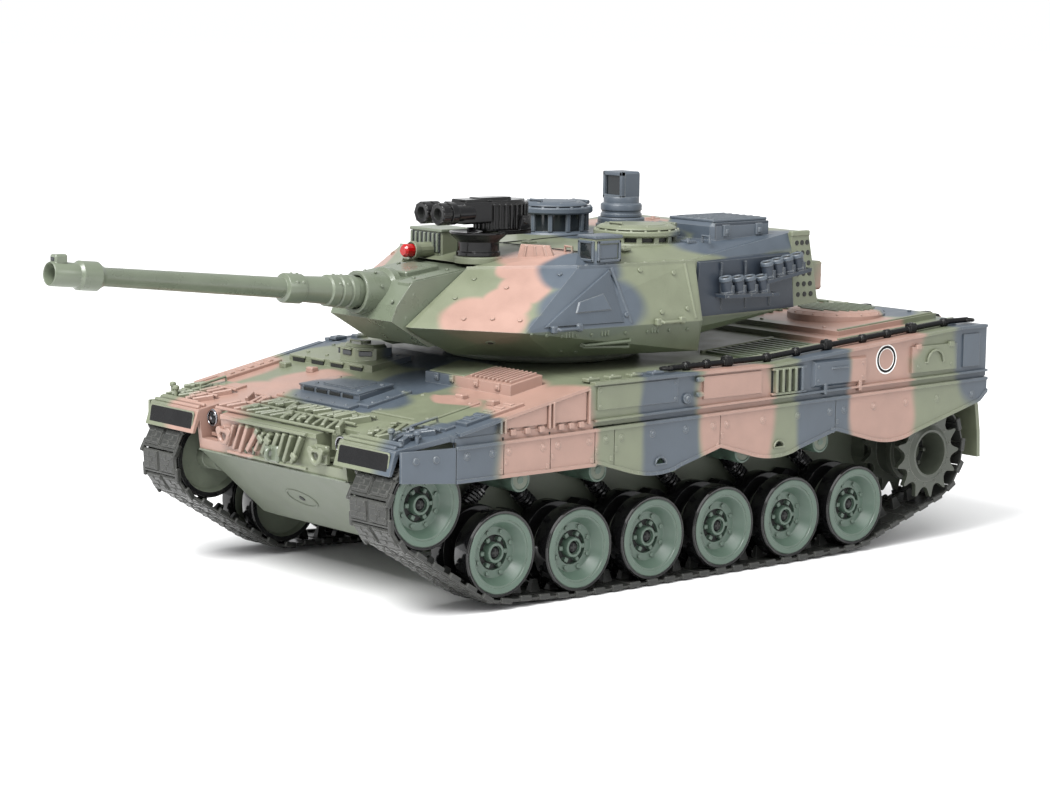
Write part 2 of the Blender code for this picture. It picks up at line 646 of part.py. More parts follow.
def build_periscope():
    x, y = PERISCOPE_XY
    base = [(0, 155), (8.2, 155), (8.2, 152.4), (9.4, 152), (9.4, 146 + GAP), (0, 146 + GAP)]
    sight = new_object("panorama_sight", turned_on_z(base, 20, x, y), MATERIALS["slate"], at(x, y, 146))
    join(sight, block_mesh((x - 7, y - 5.5, 153), (x + 6, y + 6.5, 167), 0.8))


def build_hatch(name, centre, radius, top, material):
    """A round lid with its hinge ear at the back."""
    x, y = centre
    low = top - LID + GAP
    lid = [(0, top), (radius - 4, top), (radius - 1, top - 1), (radius, low), (0, low)]
    hatch = new_object(name, turned_on_z(lid, 24, x, y), material, at(x, y + radius + 1, low + 1.3))
    join(hatch, block_mesh((x - 4, y + radius - 3, low + 0.4), (x + 4, y + radius + 2, low + 2.2)))


def build_roof_gun():
    """A turning pedestal with two ears, and the pair of guns that tips between them."""
    x, y = MG_XY
    stand = [(0, 146.5), (12.4, 146.5), (12.4, 145.6), (9, 142.5), (9, 136 + GAP), (0, 136 + GAP)]
    pedestal = new_object("roof_gun_pedestal", turned_on_z(stand, 20, x, y), MATERIALS["gloss_black"],
                          at(x, y, 136))
    for side in (-1, 1):
        ear = sorted((x + side * 8.6, x + side * 10.8))
        join(pedestal, block_mesh((ear[0], y + 4, 145.5), (ear[1], y + 21, 154)))
    box = block_mesh((x - 8.2, y - 4, 147.6), (x + 8.2, y + 23, 158.6), 0.8)
    guns = new_object("roof_gun_pair", box, MATERIALS["gloss_black"], at(x, *MG_PIVOT_YZ))
    join(guns, block_mesh((x - 6.4, y - 21, 150.5), (x + 6.4, y - 2, 160), 0.8))
    join(guns, block_mesh((x - 5, y - 1, 157), (x + 3, y + 16, 162)))
    for side in (-1, 1):
        muzzle = [(0, 12), (4.0, 12), (4.0, 3), (2.6, 2.4), (2.6, -4), (0, -4)]
        join(guns, turned_on_y(muzzle, 8, x + side * 4.6, y - 20, 155))


def build_smoke_rack(side, name):
    """Two shelves of four discharger tubes on a turret side."""
    shelf = hull_mesh([(side * x, y, z) for x in (66.2, 73)
                       for y, z in ((193, 117.6), (193, 119.2), (226, 116.8), (226, 118.4))])
    rack = new_object(name, shelf, MATERIALS["slate"])
    upper = hull_mesh([(side * x, y, z) for x in (65.6, 73)
                       for y, z in ((219, 122.4), (219, 124), (246, 126.6), (246, 128.2))])
    brace = hull_mesh([(side * x, y, z) for x in (66.2, 68.4) for y in (219.5, 223) for z in (117, 123.4)])
    join(rack, brace)
    join(rack, upper)
    for i in range(4):
        join(rack, tube((side * 69.6, 198 + 7.2 * i, 118.2 - 0.17 * i), 3.0, 8.6))
        join(rack, tube((side * 69.6, 223 + 6.2 * i, 123.6 + 0.9 * i), 3.0, 8.6))


def tube(base, radius, height):
    mesh = turned_mesh([(0, height), (radius, height), (radius, 0), (0, 0)], 10)
    mesh.transform(Matrix.Rotation(math.radians(14), 4, "X"))
    mesh.transform(Matrix.Translation(at(*base)))
    return mesh


def build_lamp():
    body = turned_on_y([(0, 5), (2.0, 5), (2.9, 4), (2.9, 0), (0, 0)], 14, LAMP_XZ[0], 91 - GAP, LAMP_XZ[1])
    new_object("red_lamp", body, MATERIALS["red"])


def build_all():
    build_tub()
    build_deck()
    build_internals()
    build_turret_ring()
    build_turret_shell()
    build_mantlet()
    build_barrel()
    build_periscope()
    build_hatch("commander_hatch", COMMANDER_XY, 15.5, COMMANDER_TOP_Z, MATERIALS["slate"])
    build_hatch("loader_hatch", LOADER_XY, 17.5, LOADER_TOP_Z, MATERIALS["olive"])
    build_roof_gun()
    build_lamp()
    for side, word in ((1, "left"), (-1, "right")):
        build_skirt(side, "skirt_" + word)
        build_mudflap(side, "mudflap_" + word)
        build_tow_rod(side, "tow_rod_" + word)
        build_headlight(side, "headlight_" + word)
        build_smoke_rack(side, "smoke_rack_" + word)
        build_idler(side, "idler_" + word)
        build_sprocket(side, "sprocket_" + word)
        build_track(side, "track_" + word)
        for number, (y, z) in enumerate(zip(ROAD_WHEEL_Y, ROAD_WHEEL_Z), 1):
            build_wheel(side, f"road_wheel_{word}_{number}", y, z)
            build_swing_arm(side, f"swing_arm_{word}_{number}", y, z)


clear_scene()
PARTS = collection("rc_tank")
TOOLS = collection("cutters")
MATERIALS = {
    "olive": paint("olive", OLIVE),
    "sage": paint("sage", SAGE),
    "dark_green": paint("dark_green", DARK_GREEN),
    "slate": paint("slate", SLATE),
    "black": paint("black", BLACK, 0.55),
    "gloss_black": paint("gloss_black", BLACK, 0.15),
    "clear": paint("clear", (0.8, 0.82, 0.85), 0.05),
    "red": paint("red", RED, 0.2),
}
build_all()
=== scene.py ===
"""Looks of the radio controlled battle tank: paint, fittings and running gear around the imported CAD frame.

Lengths are in millimetres in the hull's own frame: x from the centre line (+x is the tank's left), y back
from the mudguards, z up from the ground. point() turns them into metres in the CAD frame.
"""

import math
import random

import bmesh
import bpy
from mathutils import Matrix, Vector
from mathutils.bvhtree import BVHTree


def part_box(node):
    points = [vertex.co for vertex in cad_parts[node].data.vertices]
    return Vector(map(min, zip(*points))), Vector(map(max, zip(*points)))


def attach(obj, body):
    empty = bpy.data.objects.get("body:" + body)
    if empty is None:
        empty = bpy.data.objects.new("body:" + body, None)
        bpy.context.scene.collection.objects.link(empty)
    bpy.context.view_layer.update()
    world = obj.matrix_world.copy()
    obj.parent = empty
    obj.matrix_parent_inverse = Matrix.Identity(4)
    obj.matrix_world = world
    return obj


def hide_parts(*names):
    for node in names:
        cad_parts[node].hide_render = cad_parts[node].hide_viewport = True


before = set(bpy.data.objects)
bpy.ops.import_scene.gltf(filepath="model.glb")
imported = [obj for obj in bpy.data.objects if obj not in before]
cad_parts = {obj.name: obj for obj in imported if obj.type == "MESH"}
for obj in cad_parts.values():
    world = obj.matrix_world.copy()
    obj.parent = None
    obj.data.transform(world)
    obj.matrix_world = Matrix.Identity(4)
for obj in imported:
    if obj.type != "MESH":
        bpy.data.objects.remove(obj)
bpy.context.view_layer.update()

MM = 0.001
TURRET_Y = 151.0  # the turret's axis in the hull's frame, which ties that frame to the CAD
RING_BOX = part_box("turret_ring")
SHIFT_Y = (RING_BOX[0].y + RING_BOX[1].y) / 2 / MM - TURRET_Y
SIDES = ((1, "left"), (-1, "right"))
FORWARD = (0, -1, 0)
OUTWARD = (1, 0, 0)
UPWARD = (0, 0, 1)


def point(x, y, z):
    """A point of the hull's frame in metres of the CAD frame."""
    return Vector((x, y + SHIFT_Y, z)) * MM


def box_middle(node):
    """The middle of a CAD node's box, in the hull's frame."""
    low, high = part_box(node)
    return (low + high) / 2 / MM - Vector((0, SHIFT_Y, 0))


# ---------------------------------------------------------------- materials

OLIVE = (0.126, 0.14, 0.092)
PINK = (0.272, 0.168, 0.135)
SLATE = (0.052, 0.066, 0.083)
SLATE_DARK = (0.022, 0.029, 0.04)
# sage green, set darker to stand for the shade on the mantlet; the gun and small fittings share it
SAGE_WITH_PAINTED_SHADE = (0.1, 0.118, 0.083)
WHEEL_GREEN = (0.06, 0.094, 0.071)
SPROCKET_GREEN = (0.042, 0.048, 0.036)
# painted shade for the turret's undercut faces; the deck's grille slats share this dark olive
UNDERCUT_SHADE = (0.06, 0.076, 0.046)
TUB_GREEN = (0.112, 0.128, 0.096)
RUBBER = (0.026, 0.027, 0.025)
BLACK = (0.006, 0.006, 0.0065)
# the pale colour of edges: partly rubbed paint, partly a painted highlight
EDGE_WEAR_AND_HIGHLIGHT = (0.62, 0.62, 0.56)

# Soft patches of the camouflage over an olive ground: the middle and the half sizes, in the hull's frame.
PINK_PATCHES = (
    ((92, 76, 66), (26, 25.5, 60)), ((93, 90, 66), (8, 13, 13)), ((60, 78, 89), (27, 20, 9)),
    ((54, 62, 83), (17, 7, 9)), ((92, 183, 70), (18, 21.5, 60)), ((86, 272, 72), (60, 22, 60)),
    ((60, 286, 100), (60, 20, 18)), ((-8, 300, 104), (30, 26, 10)), ((-46, 4, 66), (27, 15, 15)),
    ((-48, 24, 76), (22, 26, 10)), ((-40, 52, 80), (20, 18, 9)), ((-18, 3, 60), (14, 12, 7)),
    ((47, 78, 113), (19, 19, 11)), ((49, 90, 119), (12, 11, 9)), ((50, 99, 125), (11.5, 12, 10)),
    ((41, 105, 132), (10, 11, 6)), ((34, 118, 138), (16, 17, 9)), ((-60, 100, 118), (14, 22, 20)),
    ((-70, 168, 122), (14, 18, 14)), ((-30, 228, 144), (22, 22, 8)), ((-92, 50, 66), (22, 24, 50)),
    ((-92, 150, 70), (20, 24, 50)), ((-92, 248, 74), (26, 22, 50)), ((60, 345, 86), (24, 9, 20)),
)
SLATE_PATCHES = (
    ((98, 20, 66), (26, 30, 60)), ((92, 36, 80), (18, 15, 14)), ((94, 144, 66), (17, 16.5, 60)),
    ((92, 235, 70), (15, 16.5, 60)), ((92, 339, 88), (24, 19.5, 30)), ((4, 44, 79), (34, 20, 8)),
    ((12, 72, 86), (20, 18, 9)), ((-10, 100, 91), (40, 18, 8)), ((50, 318, 101), (22, 12, 8)),
    ((70, 120, 118), (13, 30, 14)), ((70, 98, 111), (9, 14, 6)), ((58, 122, 132), (16, 20, 9)),
    ((40, 220, 148), (20, 25, 8)), ((8, 192, 141), (34, 26, 8)), ((56, 216, 141), (16, 36, 10)),
    ((-66, 134, 122), (16, 17, 18)), ((-66, 212, 124), (14, 20, 18)), ((-92, 98, 68), (20, 22, 50)),
    ((-92, 200, 72), (20, 20, 50)), ((-92, 305, 80), (22, 24, 50)), ((-40, 345, 86), (40, 9, 20)),
    ((-62, 292, 100), (26, 16, 12)),
)
PATCH_EDGE = 0.13  # half the width of a patch's soft edge, as a share of the patch
PATCH_WANDER = 5.0  # how far a patch's edge strays
UNDERCUT_Z = (108.6, 109.3)  # where the turret's walls turn under; shade is painted below it
EDGE_RADIUS = 0.35
GRAIN_DEPTH = 0.3
STRAY_SCALE, MOTTLE_SCALE, EDGE_BREAKUP_SCALE, GRAIN_SCALE = 38.0, 90.0, 420.0, 1400.0  # noise scales


def add_node(tree, kind, inputs=None, **settings):
    """A shader node with its settings, and its inputs set to values or linked from sockets."""
    made = tree.nodes.new(kind)
    for name, value in settings.items():
        setattr(made, name, value)
    for name, value in (inputs or {}).items():
        if isinstance(value, bpy.types.NodeSocket):
            tree.links.new(value, made.inputs[name])
        else:
            made.inputs[name].default_value = value
    return made


def math_node(tree, operation, first, second):
    return add_node(tree, "ShaderNodeMath", {0: first, 1: second}, operation=operation).outputs[0]


def vector_node(tree, operation, *values):
    output = "Value" if operation in ("LENGTH", "DOT_PRODUCT") else "Vector"
    return add_node(tree, "ShaderNodeVectorMath", dict(enumerate(values)),
                    operation=operation).outputs[output]


def noise(tree, place, scale, detail, output="Fac"):
    return add_node(tree, "ShaderNodeTexNoise",
                    {"Vector": place, "Scale": scale, "Detail": detail}).outputs[output]


def remap(tree, value, low, high, to_low=0.0, to_high=1.0, **settings):
    """A value from one range in another."""
    inputs = {"Value": value, "From Min": low, "From Max": high, "To Min": to_low, "To Max": to_high}
    return add_node(tree, "ShaderNodeMapRange", inputs, **settings).outputs[0]


def mix_colour(tree, share, first, second, blend="MIX"):
    made = add_node(tree, "ShaderNodeMix", data_type="RGBA", blend_type=blend)
    for socket, value in ((made.inputs[0], share), (made.inputs[6], first), (made.inputs[7], second)):
        if isinstance(value, bpy.types.NodeSocket):
            tree.links.new(value, socket)
        else:
            socket.default_value = (*value, 1) if isinstance(value, tuple) else value
    return made.outputs[2]


def nearest_patch(tree, place, patches):
    """How far a place is from the nearest patch, where 1 is the patch's edge."""
    nearest = None
    for centre, half in patches:
        away = vector_node(tree, "SUBTRACT", place, point(*centre))
        unit = vector_node(tree, "MULTIPLY", away, [1 / (size * MM) for size in half])
        far = vector_node(tree, "LENGTH", unit)
        nearest = math_node(tree, "MINIMUM", nearest, far) if nearest else far
    return nearest


def camouflage(tree, place):
    """Olive with soft-edged pink and slate patches."""
    wander = noise(tree, place, STRAY_SCALE, 1.0, "Color")
    centred = vector_node(tree, "SUBTRACT", wander, (0.5, 0.5, 0.5))
    stray = add_node(tree, "ShaderNodeVectorMath", {0: centred, "Scale": 2 * PATCH_WANDER * MM},
                     operation="SCALE")
    strayed = vector_node(tree, "ADD", place, stray.outputs[0])
    colour = OLIVE
    for patches, paint in ((PINK_PATCHES, PINK), (SLATE_PATCHES, SLATE)):
        nearest = nearest_patch(tree, strayed, patches)
        share = remap(tree, nearest, 1 + PATCH_EDGE, 1 - PATCH_EDGE, interpolation_type="SMOOTHSTEP")
        colour = mix_colour(tree, share, colour, paint)
    return colour


def turret_camouflage(tree, place):
    """The same camouflage with painted shade: darker on the turret's undercut faces."""
    colour = camouflage(tree, place)
    # painted shade below the turret's edge
    shaded = mix_colour(tree, 0.82, colour, UNDERCUT_SHADE)
    height = add_node(tree, "ShaderNodeSeparateXYZ", {0: place}).outputs["Z"]
    share = remap(tree, height, UNDERCUT_Z[0] * MM, UNDERCUT_Z[1] * MM)
    return mix_colour(tree, share, shaded, colour)


def finish_material(name, colour, roughness, grain, pale_edge_strength, gloss=0.0, metallic=0.0, specular=0.5):
    """Moulded plastic: mottled colour, paler edges that are partly rubbed paint and partly a painted
    highlight, rounded edge highlights and a fine moulded grain.
    The colour is a fixed one, or a function that makes one from the shader tree and the place."""
    material = bpy.data.materials.new(name)
    material.use_nodes = True
    tree = material.node_tree
    shader = tree.nodes["Principled BSDF"]
    place = add_node(tree, "ShaderNodeTexCoord").outputs["Object"]
    base = colour(tree, place) if callable(colour) else colour
    mottle = noise(tree, place, MOTTLE_SCALE, 4.0)
    shade = remap(tree, mottle, 0.3, 0.7, 0.92, 1.06)
    grey = add_node(tree, "ShaderNodeCombineColor", {"Red": shade, "Green": shade, "Blue": shade}).outputs[0]
    base = mix_colour(tree, 1.0, base, grey, "MULTIPLY")
    rounded = add_node(tree, "ShaderNodeBevel", {"Radius": EDGE_RADIUS * MM}, samples=4).outputs[0]
    flat = add_node(tree, "ShaderNodeNewGeometry").outputs["Normal"]
    along = vector_node(tree, "DOT_PRODUCT", rounded, flat)
    # paler edges, broken up by noise: partly rubbed paint, partly a painted highlight
    edge_breakup = noise(tree, place, EDGE_BREAKUP_SCALE, 3.0)
    edge = remap(tree, along, 0.995, 0.9)
    wear_and_highlight_share = math_node(tree, "MULTIPLY", math_node(tree, "MULTIPLY", edge, edge_breakup), pale_edge_strength)
    pale = mix_colour(tree, 0.5, base, EDGE_WEAR_AND_HIGHLIGHT)
    tree.links.new(mix_colour(tree, wear_and_highlight_share, base, pale), shader.inputs["Base Color"])
    rough = remap(tree, mottle, 0.3, 0.7, roughness - 0.06, roughness + 0.06)
    tree.links.new(rough, shader.inputs["Roughness"])
    fine = noise(tree, place, GRAIN_SCALE, 2.0)
    bump = add_node(tree, "ShaderNodeBump", {"Height": fine, "Normal": rounded, "Strength": 0.25 * grain,
                                             "Distance": GRAIN_DEPTH * MM})
    tree.links.new(bump.outputs[0], shader.inputs["Normal"])
    shader.inputs["Metallic"].default_value = metallic
    shader.inputs["Specular IOR Level"].default_value = specular
    shader.inputs["Coat Weight"].default_value = gloss
    shader.inputs["Coat Roughness"].default_value = 0.06
    return material


def lens_material():
    """Red clear plastic over a dark back."""
    material = finish_material("red_lens", (0.33, 0.004, 0.005), 0.1, 0.1, 0.1)
    shader = material.node_tree.nodes["Principled BSDF"]
    shader.inputs["Transmission Weight"].default_value = 0.1
    shader.inputs["IOR"].default_value = 1.49
    return material


# Each finish: its name, colour, roughness, grain and how pale its edges are (partly rubbed paint, partly
# painted highlight), and what else sets it apart.
FINISHES = {
    "camo": ("camouflage_paint", camouflage, 0.38, 0.5, 0.5, {}),
    "turret_camo": ("turret_camouflage_and_painted_shade", turret_camouflage, 0.38, 0.5, 0.5, {}),
    "olive": ("olive_paint", OLIVE, 0.42, 0.5, 0.5, {}),
    "pink": ("pink_paint", PINK, 0.42, 0.5, 0.5, {}),
    "slate": ("slate_paint", SLATE, 0.4, 0.5, 0.5, {}),
    "slate_dark": ("dark_slate_paint", SLATE_DARK, 0.4, 0.5, 0.5, {"specular": 0.35}),
    # sage, darkened with painted shade for the mantlet
    "sage": ("sage_with_painted_shade", SAGE_WITH_PAINTED_SHADE, 0.3, 0.4, 0.4, {"specular": 0.6}),
    "wheel": ("wheel_green", WHEEL_GREEN, 0.33, 0.3, 0.4, {}),
    "sprocket": ("sprocket_green", SPROCKET_GREEN, 0.4, 0.5, 0.5, {}),
    # painted shade on the turret's undercut and its fittings; also the colour of the deck's grille slats
    "undercut": ("painted_undercut_shade", UNDERCUT_SHADE, 0.36, 0.5, 0.4, {}),
    "tub": ("tub_green", TUB_GREEN, 0.5, 0.6, 0.2, {}),
    "tyre": ("glossy_tyre", BLACK, 0.14, 0.12, 0.3, {"gloss": 0.3, "specular": 0.25}),
    "track": ("track_black", RUBBER, 0.3, 0.9, 0.35, {"specular": 0.28}),
    "black": ("black_plastic", BLACK, 0.26, 0.4, 0.25, {"specular": 0.14}),
    "gloss": ("gloss_black_plastic", BLACK, 0.14, 0.1, 0.1, {"gloss": 0.1, "specular": 0.2}),
    "coil": ("black_spring_steel", (0.02, 0.02, 0.022), 0.2, 0.1, 0.3, {"gloss": 0.7}),
    # painted shade inside holes, slots, bores and recesses; also the dark seams between plates
    "dark": ("hole_shade_and_dark_seams", (0.006, 0.007, 0.006), 0.6, 0.3, 0.0, {}),
    "white": ("white_print", (0.8, 0.8, 0.78), 0.45, 0.2, 0.0, {}),
    "mirror": ("lamp_reflector", (0.32, 0.32, 0.34), 0.12, 0.2, 0.0, {"metallic": 1.0}),
    "window": ("sight_window", (0.01, 0.013, 0.015), 0.08, 0.1, 0.0, {"gloss": 0.15, "specular": 0.3}),
}
MATERIALS = {key: finish_material(*values, **more) for key, (*values, more) in FINISHES.items()}
MATERIALS["red"] = lens_material()


# ---------------------------------------------------------------- building solids

SHARP_ANGLE = math.radians(34)


def angles(count, start=0.0, step=None):
    """Angles in radians: evenly round the circle, or at a step in degrees."""
    return [math.radians(start + (step or 360 / count) * i) for i in range(count)]


def polar(radius, angle):
    return radius * math.cos(angle), radius * math.sin(angle)


def arc(y, z, radius, start, end, count):
    """Points on a circle from one angle to another, in degrees."""
    turns = [polar(radius, angle) for angle in angles(count, start, (end - start) / (count - 1))]
    return [(y + a, z + b) for a, b in turns]


def prism(xs, ys, zs):
    """The corners of a plain block between two x, two y and two z."""
    return [(x, y, z) for y in ys for z in zs for x in xs]


class Shape:
    """Solids gathered into one mesh, in the hull's millimetres. Materials are named by their keys."""

    def __init__(self, default):
        self.verts = []
        self.faces = []
        self.slots = []
        self.names = [default]

    def slot(self, material):
        """The number of a material's slot, which is added when it is new."""
        name = material or self.names[0]
        if name not in self.names:
            self.names.append(name)
        return self.names.index(name)

    def add(self, verts, faces, material=None):
        start = len(self.verts)
        self.verts += [Vector(v) for v in verts]
        self.faces += [[start + i for i in face] for face in faces]
        self.slots += [self.slot(material)] * len(faces)

    def hull(self, points, material=None):
        """The convex solid with these corners."""
        bm = bmesh.new()
        for place in points:
            bm.verts.new(place)
        bmesh.ops.convex_hull(bm, input=bm.verts)
        bmesh.ops.delete(bm, geom=[v for v in bm.verts if not v.link_faces], context="VERTS")
        bmesh.ops.dissolve_limit(bm, angle_limit=math.radians(1), verts=bm.verts, edges=bm.edges)
        bmesh.ops.recalc_face_normals(bm, faces=bm.faces)
        bm.verts.index_update()
        self.add([v.co.copy() for v in bm.verts], [[v.index for v in face.verts] for face in bm.faces],
                 material)
        bm.free()

    def block(self, middle, half, bevel=0.3, material=None, turn=None):
        """A box with bevelled edges from its middle and half sizes, which may be turned about its middle."""
        bevel = min(bevel, 0.45 * min(half))
        corners = []
        for i in range(8):
            sign = [1 if i >> axis & 1 else -1 for axis in range(3)]
            for kept in range(3):
                size = [half[axis] - (0 if axis == kept else bevel) for axis in range(3)]
                corners.append(Vector([s * a for s, a in zip(sign, size)]))
        if turn is not None:
            corners = [turn @ corner for corner in corners]
        self.hull([Vector(middle) + corner for corner in corners], material)

    def box(self, low, high, bevel=0.3, material=None, turn=None):
        """A box with bevelled edges from two opposite corners."""
        low, high = Vector(low), Vector(high)
        self.block((low + high) / 2, [abs(size) for size in (high - low) / 2], bevel, material, turn)

    def row(self, count, step, low, high, bevel=0.3, material=None, turn=None):
        """A row of equal boxes, each a step on from the one before."""
        for i in range(count):
            move = Vector(step) * i
            self.box(Vector(low) + move, Vector(high) + move, bevel, material, turn)

    def turned(self, profile, origin, axis, steps=32, materials=None):
        """Turned about an axis from (radius, height) points that run down its outer side."""
        origin, axis = Vector(origin), Vector(axis).normalized()
        side = axis.orthogonal().normalized()
        other = axis.cross(side)
        rings = []
        start = len(self.verts)
        for radius, height in profile:
            first = len(self.verts) - start
            spokes = [polar(radius, angle) for angle in angles(steps)] if radius else [(0, 0)]
            self.verts += [origin + axis * height + side * a + other * b for a, b in spokes]
            rings.append([first + i % len(spokes) for i in range(steps)])
        for number, (upper, lower) in enumerate(zip(rings, rings[1:])):
            slot = self.slot(materials[number] if materials else None)
            for i in range(steps):
                j = (i + 1) % steps
                corners = dict.fromkeys((upper[i], lower[i], lower[j], upper[j]))
                self.faces.append([start + corner for corner in corners])
                self.slots.append(slot)

    def rod(self, start, end, radius, steps=12, material=None, bevel=0.15):
        """A straight round bar between two points."""
        start, end = Vector(start), Vector(end)
        length = (end - start).length
        bevel = min(bevel, 0.4 * radius, 0.4 * length)
        profile = [(0, length), (radius - bevel, length), (radius, length - bevel), (radius, bevel),
                   (radius - bevel, 0), (0, 0)]
        self.turned(profile, start, end - start, steps, [material] * 5)

    def bolt(self, place, normal, radius=0.7, height=0.5, material=None, steps=8):
        place, normal = Vector(place), Vector(normal).normalized()
        self.rod(place - normal * 0.3, place + normal * height, radius, steps, material)

    def bolts(self, places, normal, radius=0.7, height=0.5):
        for place in places:
            self.bolt(place, normal, radius, height)

    def plate(self, outline, origin, across, up, thickness, material=None):
        """A flat outline, anticlockwise, on two directions through a point, thickened along its normal."""
        origin, across, up = Vector(origin), Vector(across), Vector(up)
        lift = across.cross(up).normalized() * thickness
        count = len(outline)
        lower = [origin + across * a + up * b for a, b in outline]
        ring = list(range(count))
        faces = [ring[::-1], [i + count for i in ring]]
        faces += [[i, j, j + count, i + count] for i, j in zip(ring, ring[1:] + ring[:1])]
        self.add(lower + [place + lift for place in lower], faces, material)

    def tube(self, points, radius, steps=8, material=None):
        """A round bar bent through a list of points."""
        points = [Vector(place) for place in points]
        side = (points[1] - points[0]).orthogonal().normalized()
        verts = []
        for i, place in enumerate(points):
            along = (points[min(i + 1, len(points) - 1)] - points[max(i - 1, 0)]).normalized()
            side = (side - along * side.dot(along)).normalized()
            other = along.cross(side)
            verts += [place + side * a + other * b for a,
                      b in (polar(radius, angle) for angle in angles(steps))]
        faces = [list(range(steps))[::-1], list(range(len(verts) - steps, len(verts)))]
        for i in range(0, len(verts) - steps, steps):
            for k in range(steps):
                m = (k + 1) % steps
                faces.append([i + k, i + m, i + steps + m, i + steps + k])
        self.add(verts, faces, material)

    def strip(self, points, low, high, x0, x1):
        """A strip that follows a run of (y, z) points, between two heights above them."""
        for ends in zip(points, points[1:]):
            self.hull([(x, y, z + rise) for y, z in ends for rise in (low, high) for x in (x0, x1)])

    def reflected(self):
        """The same shape on the tank's other side."""
        other = Shape(self.names[0])
        other.names = list(self.names)
        other.verts = [Vector((-v.x, v.y, v.z)) for v in self.verts]
        other.faces = [face[::-1] for face in self.faces]
        other.slots = list(self.slots)
        return other

    def mesh(self, name, places):
        """The shape as a mesh, with its vertices at the given places in metres."""
        mesh = bpy.data.meshes.new(name)
        mesh.from_pydata(places, [], self.faces)
        for key in self.names:
            mesh.materials.append(MATERIALS[key])
        mesh.polygons.foreach_set("material_index", self.slots)
        mesh.shade_smooth()
        mesh.set_sharp_from_angle(angle=SHARP_ANGLE)
        mesh.update()
        return mesh


def add_object(name, data, place=(0, 0, 0)):
    made = bpy.data.objects.new(name, data)
    bpy.context.scene.collection.objects.link(made)
    made.location = place
    return made


def build_one(shape, name, body, replaces=()):
    """A shape as a piece that rides on a body and may replace CAD nodes."""
    piece = add_object(name, shape.mesh(name, [point(*v) for v in shape.verts]))
    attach(piece, body)
    if replaces:
        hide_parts(*replaces)


def build_pair(shape, name, body, replaces=()):
    """A shape made for the left side, and its mirror image on the right."""
    for (_, word), half in zip(SIDES, (shape, shape.reflected())):
        build_one(half, f"{name}_{word}", body, [f"{node}_{word}" for node in replaces])


def surface(node):
    """A CAD node's surface, for finding places on it."""
    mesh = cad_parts[node].data
    return BVHTree.FromPolygons([v.co for v in mesh.vertices], [face.vertices for face in mesh.polygons])


def on_surface(tree, x, y, z):
    """The nearest place on a surface, and the normal there, in the hull's frame."""
    place, normal, _, _ = tree.find_nearest(point(x, y, z))
    return place / MM - Vector((0, SHIFT_Y, 0)), normal


def holed_plate(loops, x0, x1):
    """Outlines in (y, z), the later ones holes, as a plate across x: its vertices and faces."""
    curve = bpy.data.curves.new("outline", "CURVE")
    curve.dimensions = "2D"
    curve.fill_mode = "BOTH"
    curve.extrude = abs(x1 - x0) / 2
    for loop in loops:
        spline = curve.splines.new("POLY")
        spline.points.add(len(loop) - 1)
        for spot, (y, z) in zip(spline.points, loop):
            spot.co = (y, z, 0, 1)
        spline.use_cyclic_u = True
    guide = add_object("guide", curve)
    mesh = bpy.data.meshes.new_from_object(guide.evaluated_get(bpy.context.evaluated_depsgraph_get()))
    bpy.data.objects.remove(guide)
    verts = [Vector(((x0 + x1) / 2 + v.co.z, v.co.x, v.co.y)) for v in mesh.vertices]
    faces = [list(face.vertices) for face in mesh.polygons]
    bpy.data.meshes.remove(mesh)
    return verts, faces


# ---------------------------------------------------------------- running gear

WHEEL_X = 75.0  # where each wheel's own origin lies
TRACK_WIDTH = (61.1, 87.9)
LINK_PITCH = 10.0
TRACK_THICK = 2.17
TEETH = 13
TOOTH_TIP_R = 20.8
TOOTH_ROOT_R = 15.6
RUN_R = 18.3  # the track's inner radius round a wheel
SPROCKET_RUN_R = 22.2
SAG = 6.6
WHEELS = range(1, 7)


def wheel_shape():
    """A dished wheel about the x axis: hub, bolts, rim lip, and two tyres with a groove between them."""
    face = [(0, 6.6), (2.9, 6.6), (3.0, 8.0), (3.9, 8.0), (4.3, 7.4), (4.4, 4.4), (7.2, 4.4), (7.3, 6.1),
            (10.4, 6.2), (10.8, 6.6), (12.9, 10.6), (13.3, 10.9), (13.9, 10.9), (14.1, 11.3), (16.1, 11.5),
            (16.5, 11.2)]
    outer_tyre = [(16.6, 11.0), (17.5, 11.3), (18.0, 10.7), (18.0, 3.4), (17.6, 2.7), (16.8, 2.5)]
    groove = [(12.5, 2.2), (12.5, -3.4)]
    inner_tyre = [(16.8, -4), (17.6, -4.2), (18, -4.8), (18, -11.6), (17.5, -12.2), (15.5, -12.3)]
    back = [(14.5, -9), (5.5, -8), (5.3, -12.2), (2.2, -12.3), (2.2, -6)]
    # the dark ring is painted shade on the floor of the hub's recess
    paints = ["wheel"] * 5 + ["dark"] + ["wheel"] * 9 + ["tyre"] * 6
    paints += ["tub"] * 2 + ["tyre"] * 6 + ["tub"] * 5
    shape = Shape("wheel")
    shape.turned(face + outer_tyre + groove + inner_tyre + back, (0, 0, 0), OUTWARD, 56, paints)
    for angle in angles(6, 30):
        turn = Matrix.Rotation(angle, 4, "X")
        shape.block(turn @ Vector((5.3, 0, 5.9)), (1.4, 0.95, 1.0), 0.3, "wheel", turn)
    for angle in angles(8, 22):
        shape.bolt((6.2, *polar(9, angle)), OUTWARD, 1.0, 0.8, steps=10)
    shape.turned([(0, 7.5), (1.5, 7.5), (2.3, 7.1), (2.6, 6.7), (2.6, 6.4)], (0, 0, 0), OUTWARD, 20,
                 ["black"] * 4)
    # a dark cross on the hub cap: painted shade in the screw's slots
    for size in ((0.35, 1.5), (1.5, 0.35)):
        shape.box((7.2, -size[0], -size[1]), (7.55, *size), 0.05, "dark")
    return shape


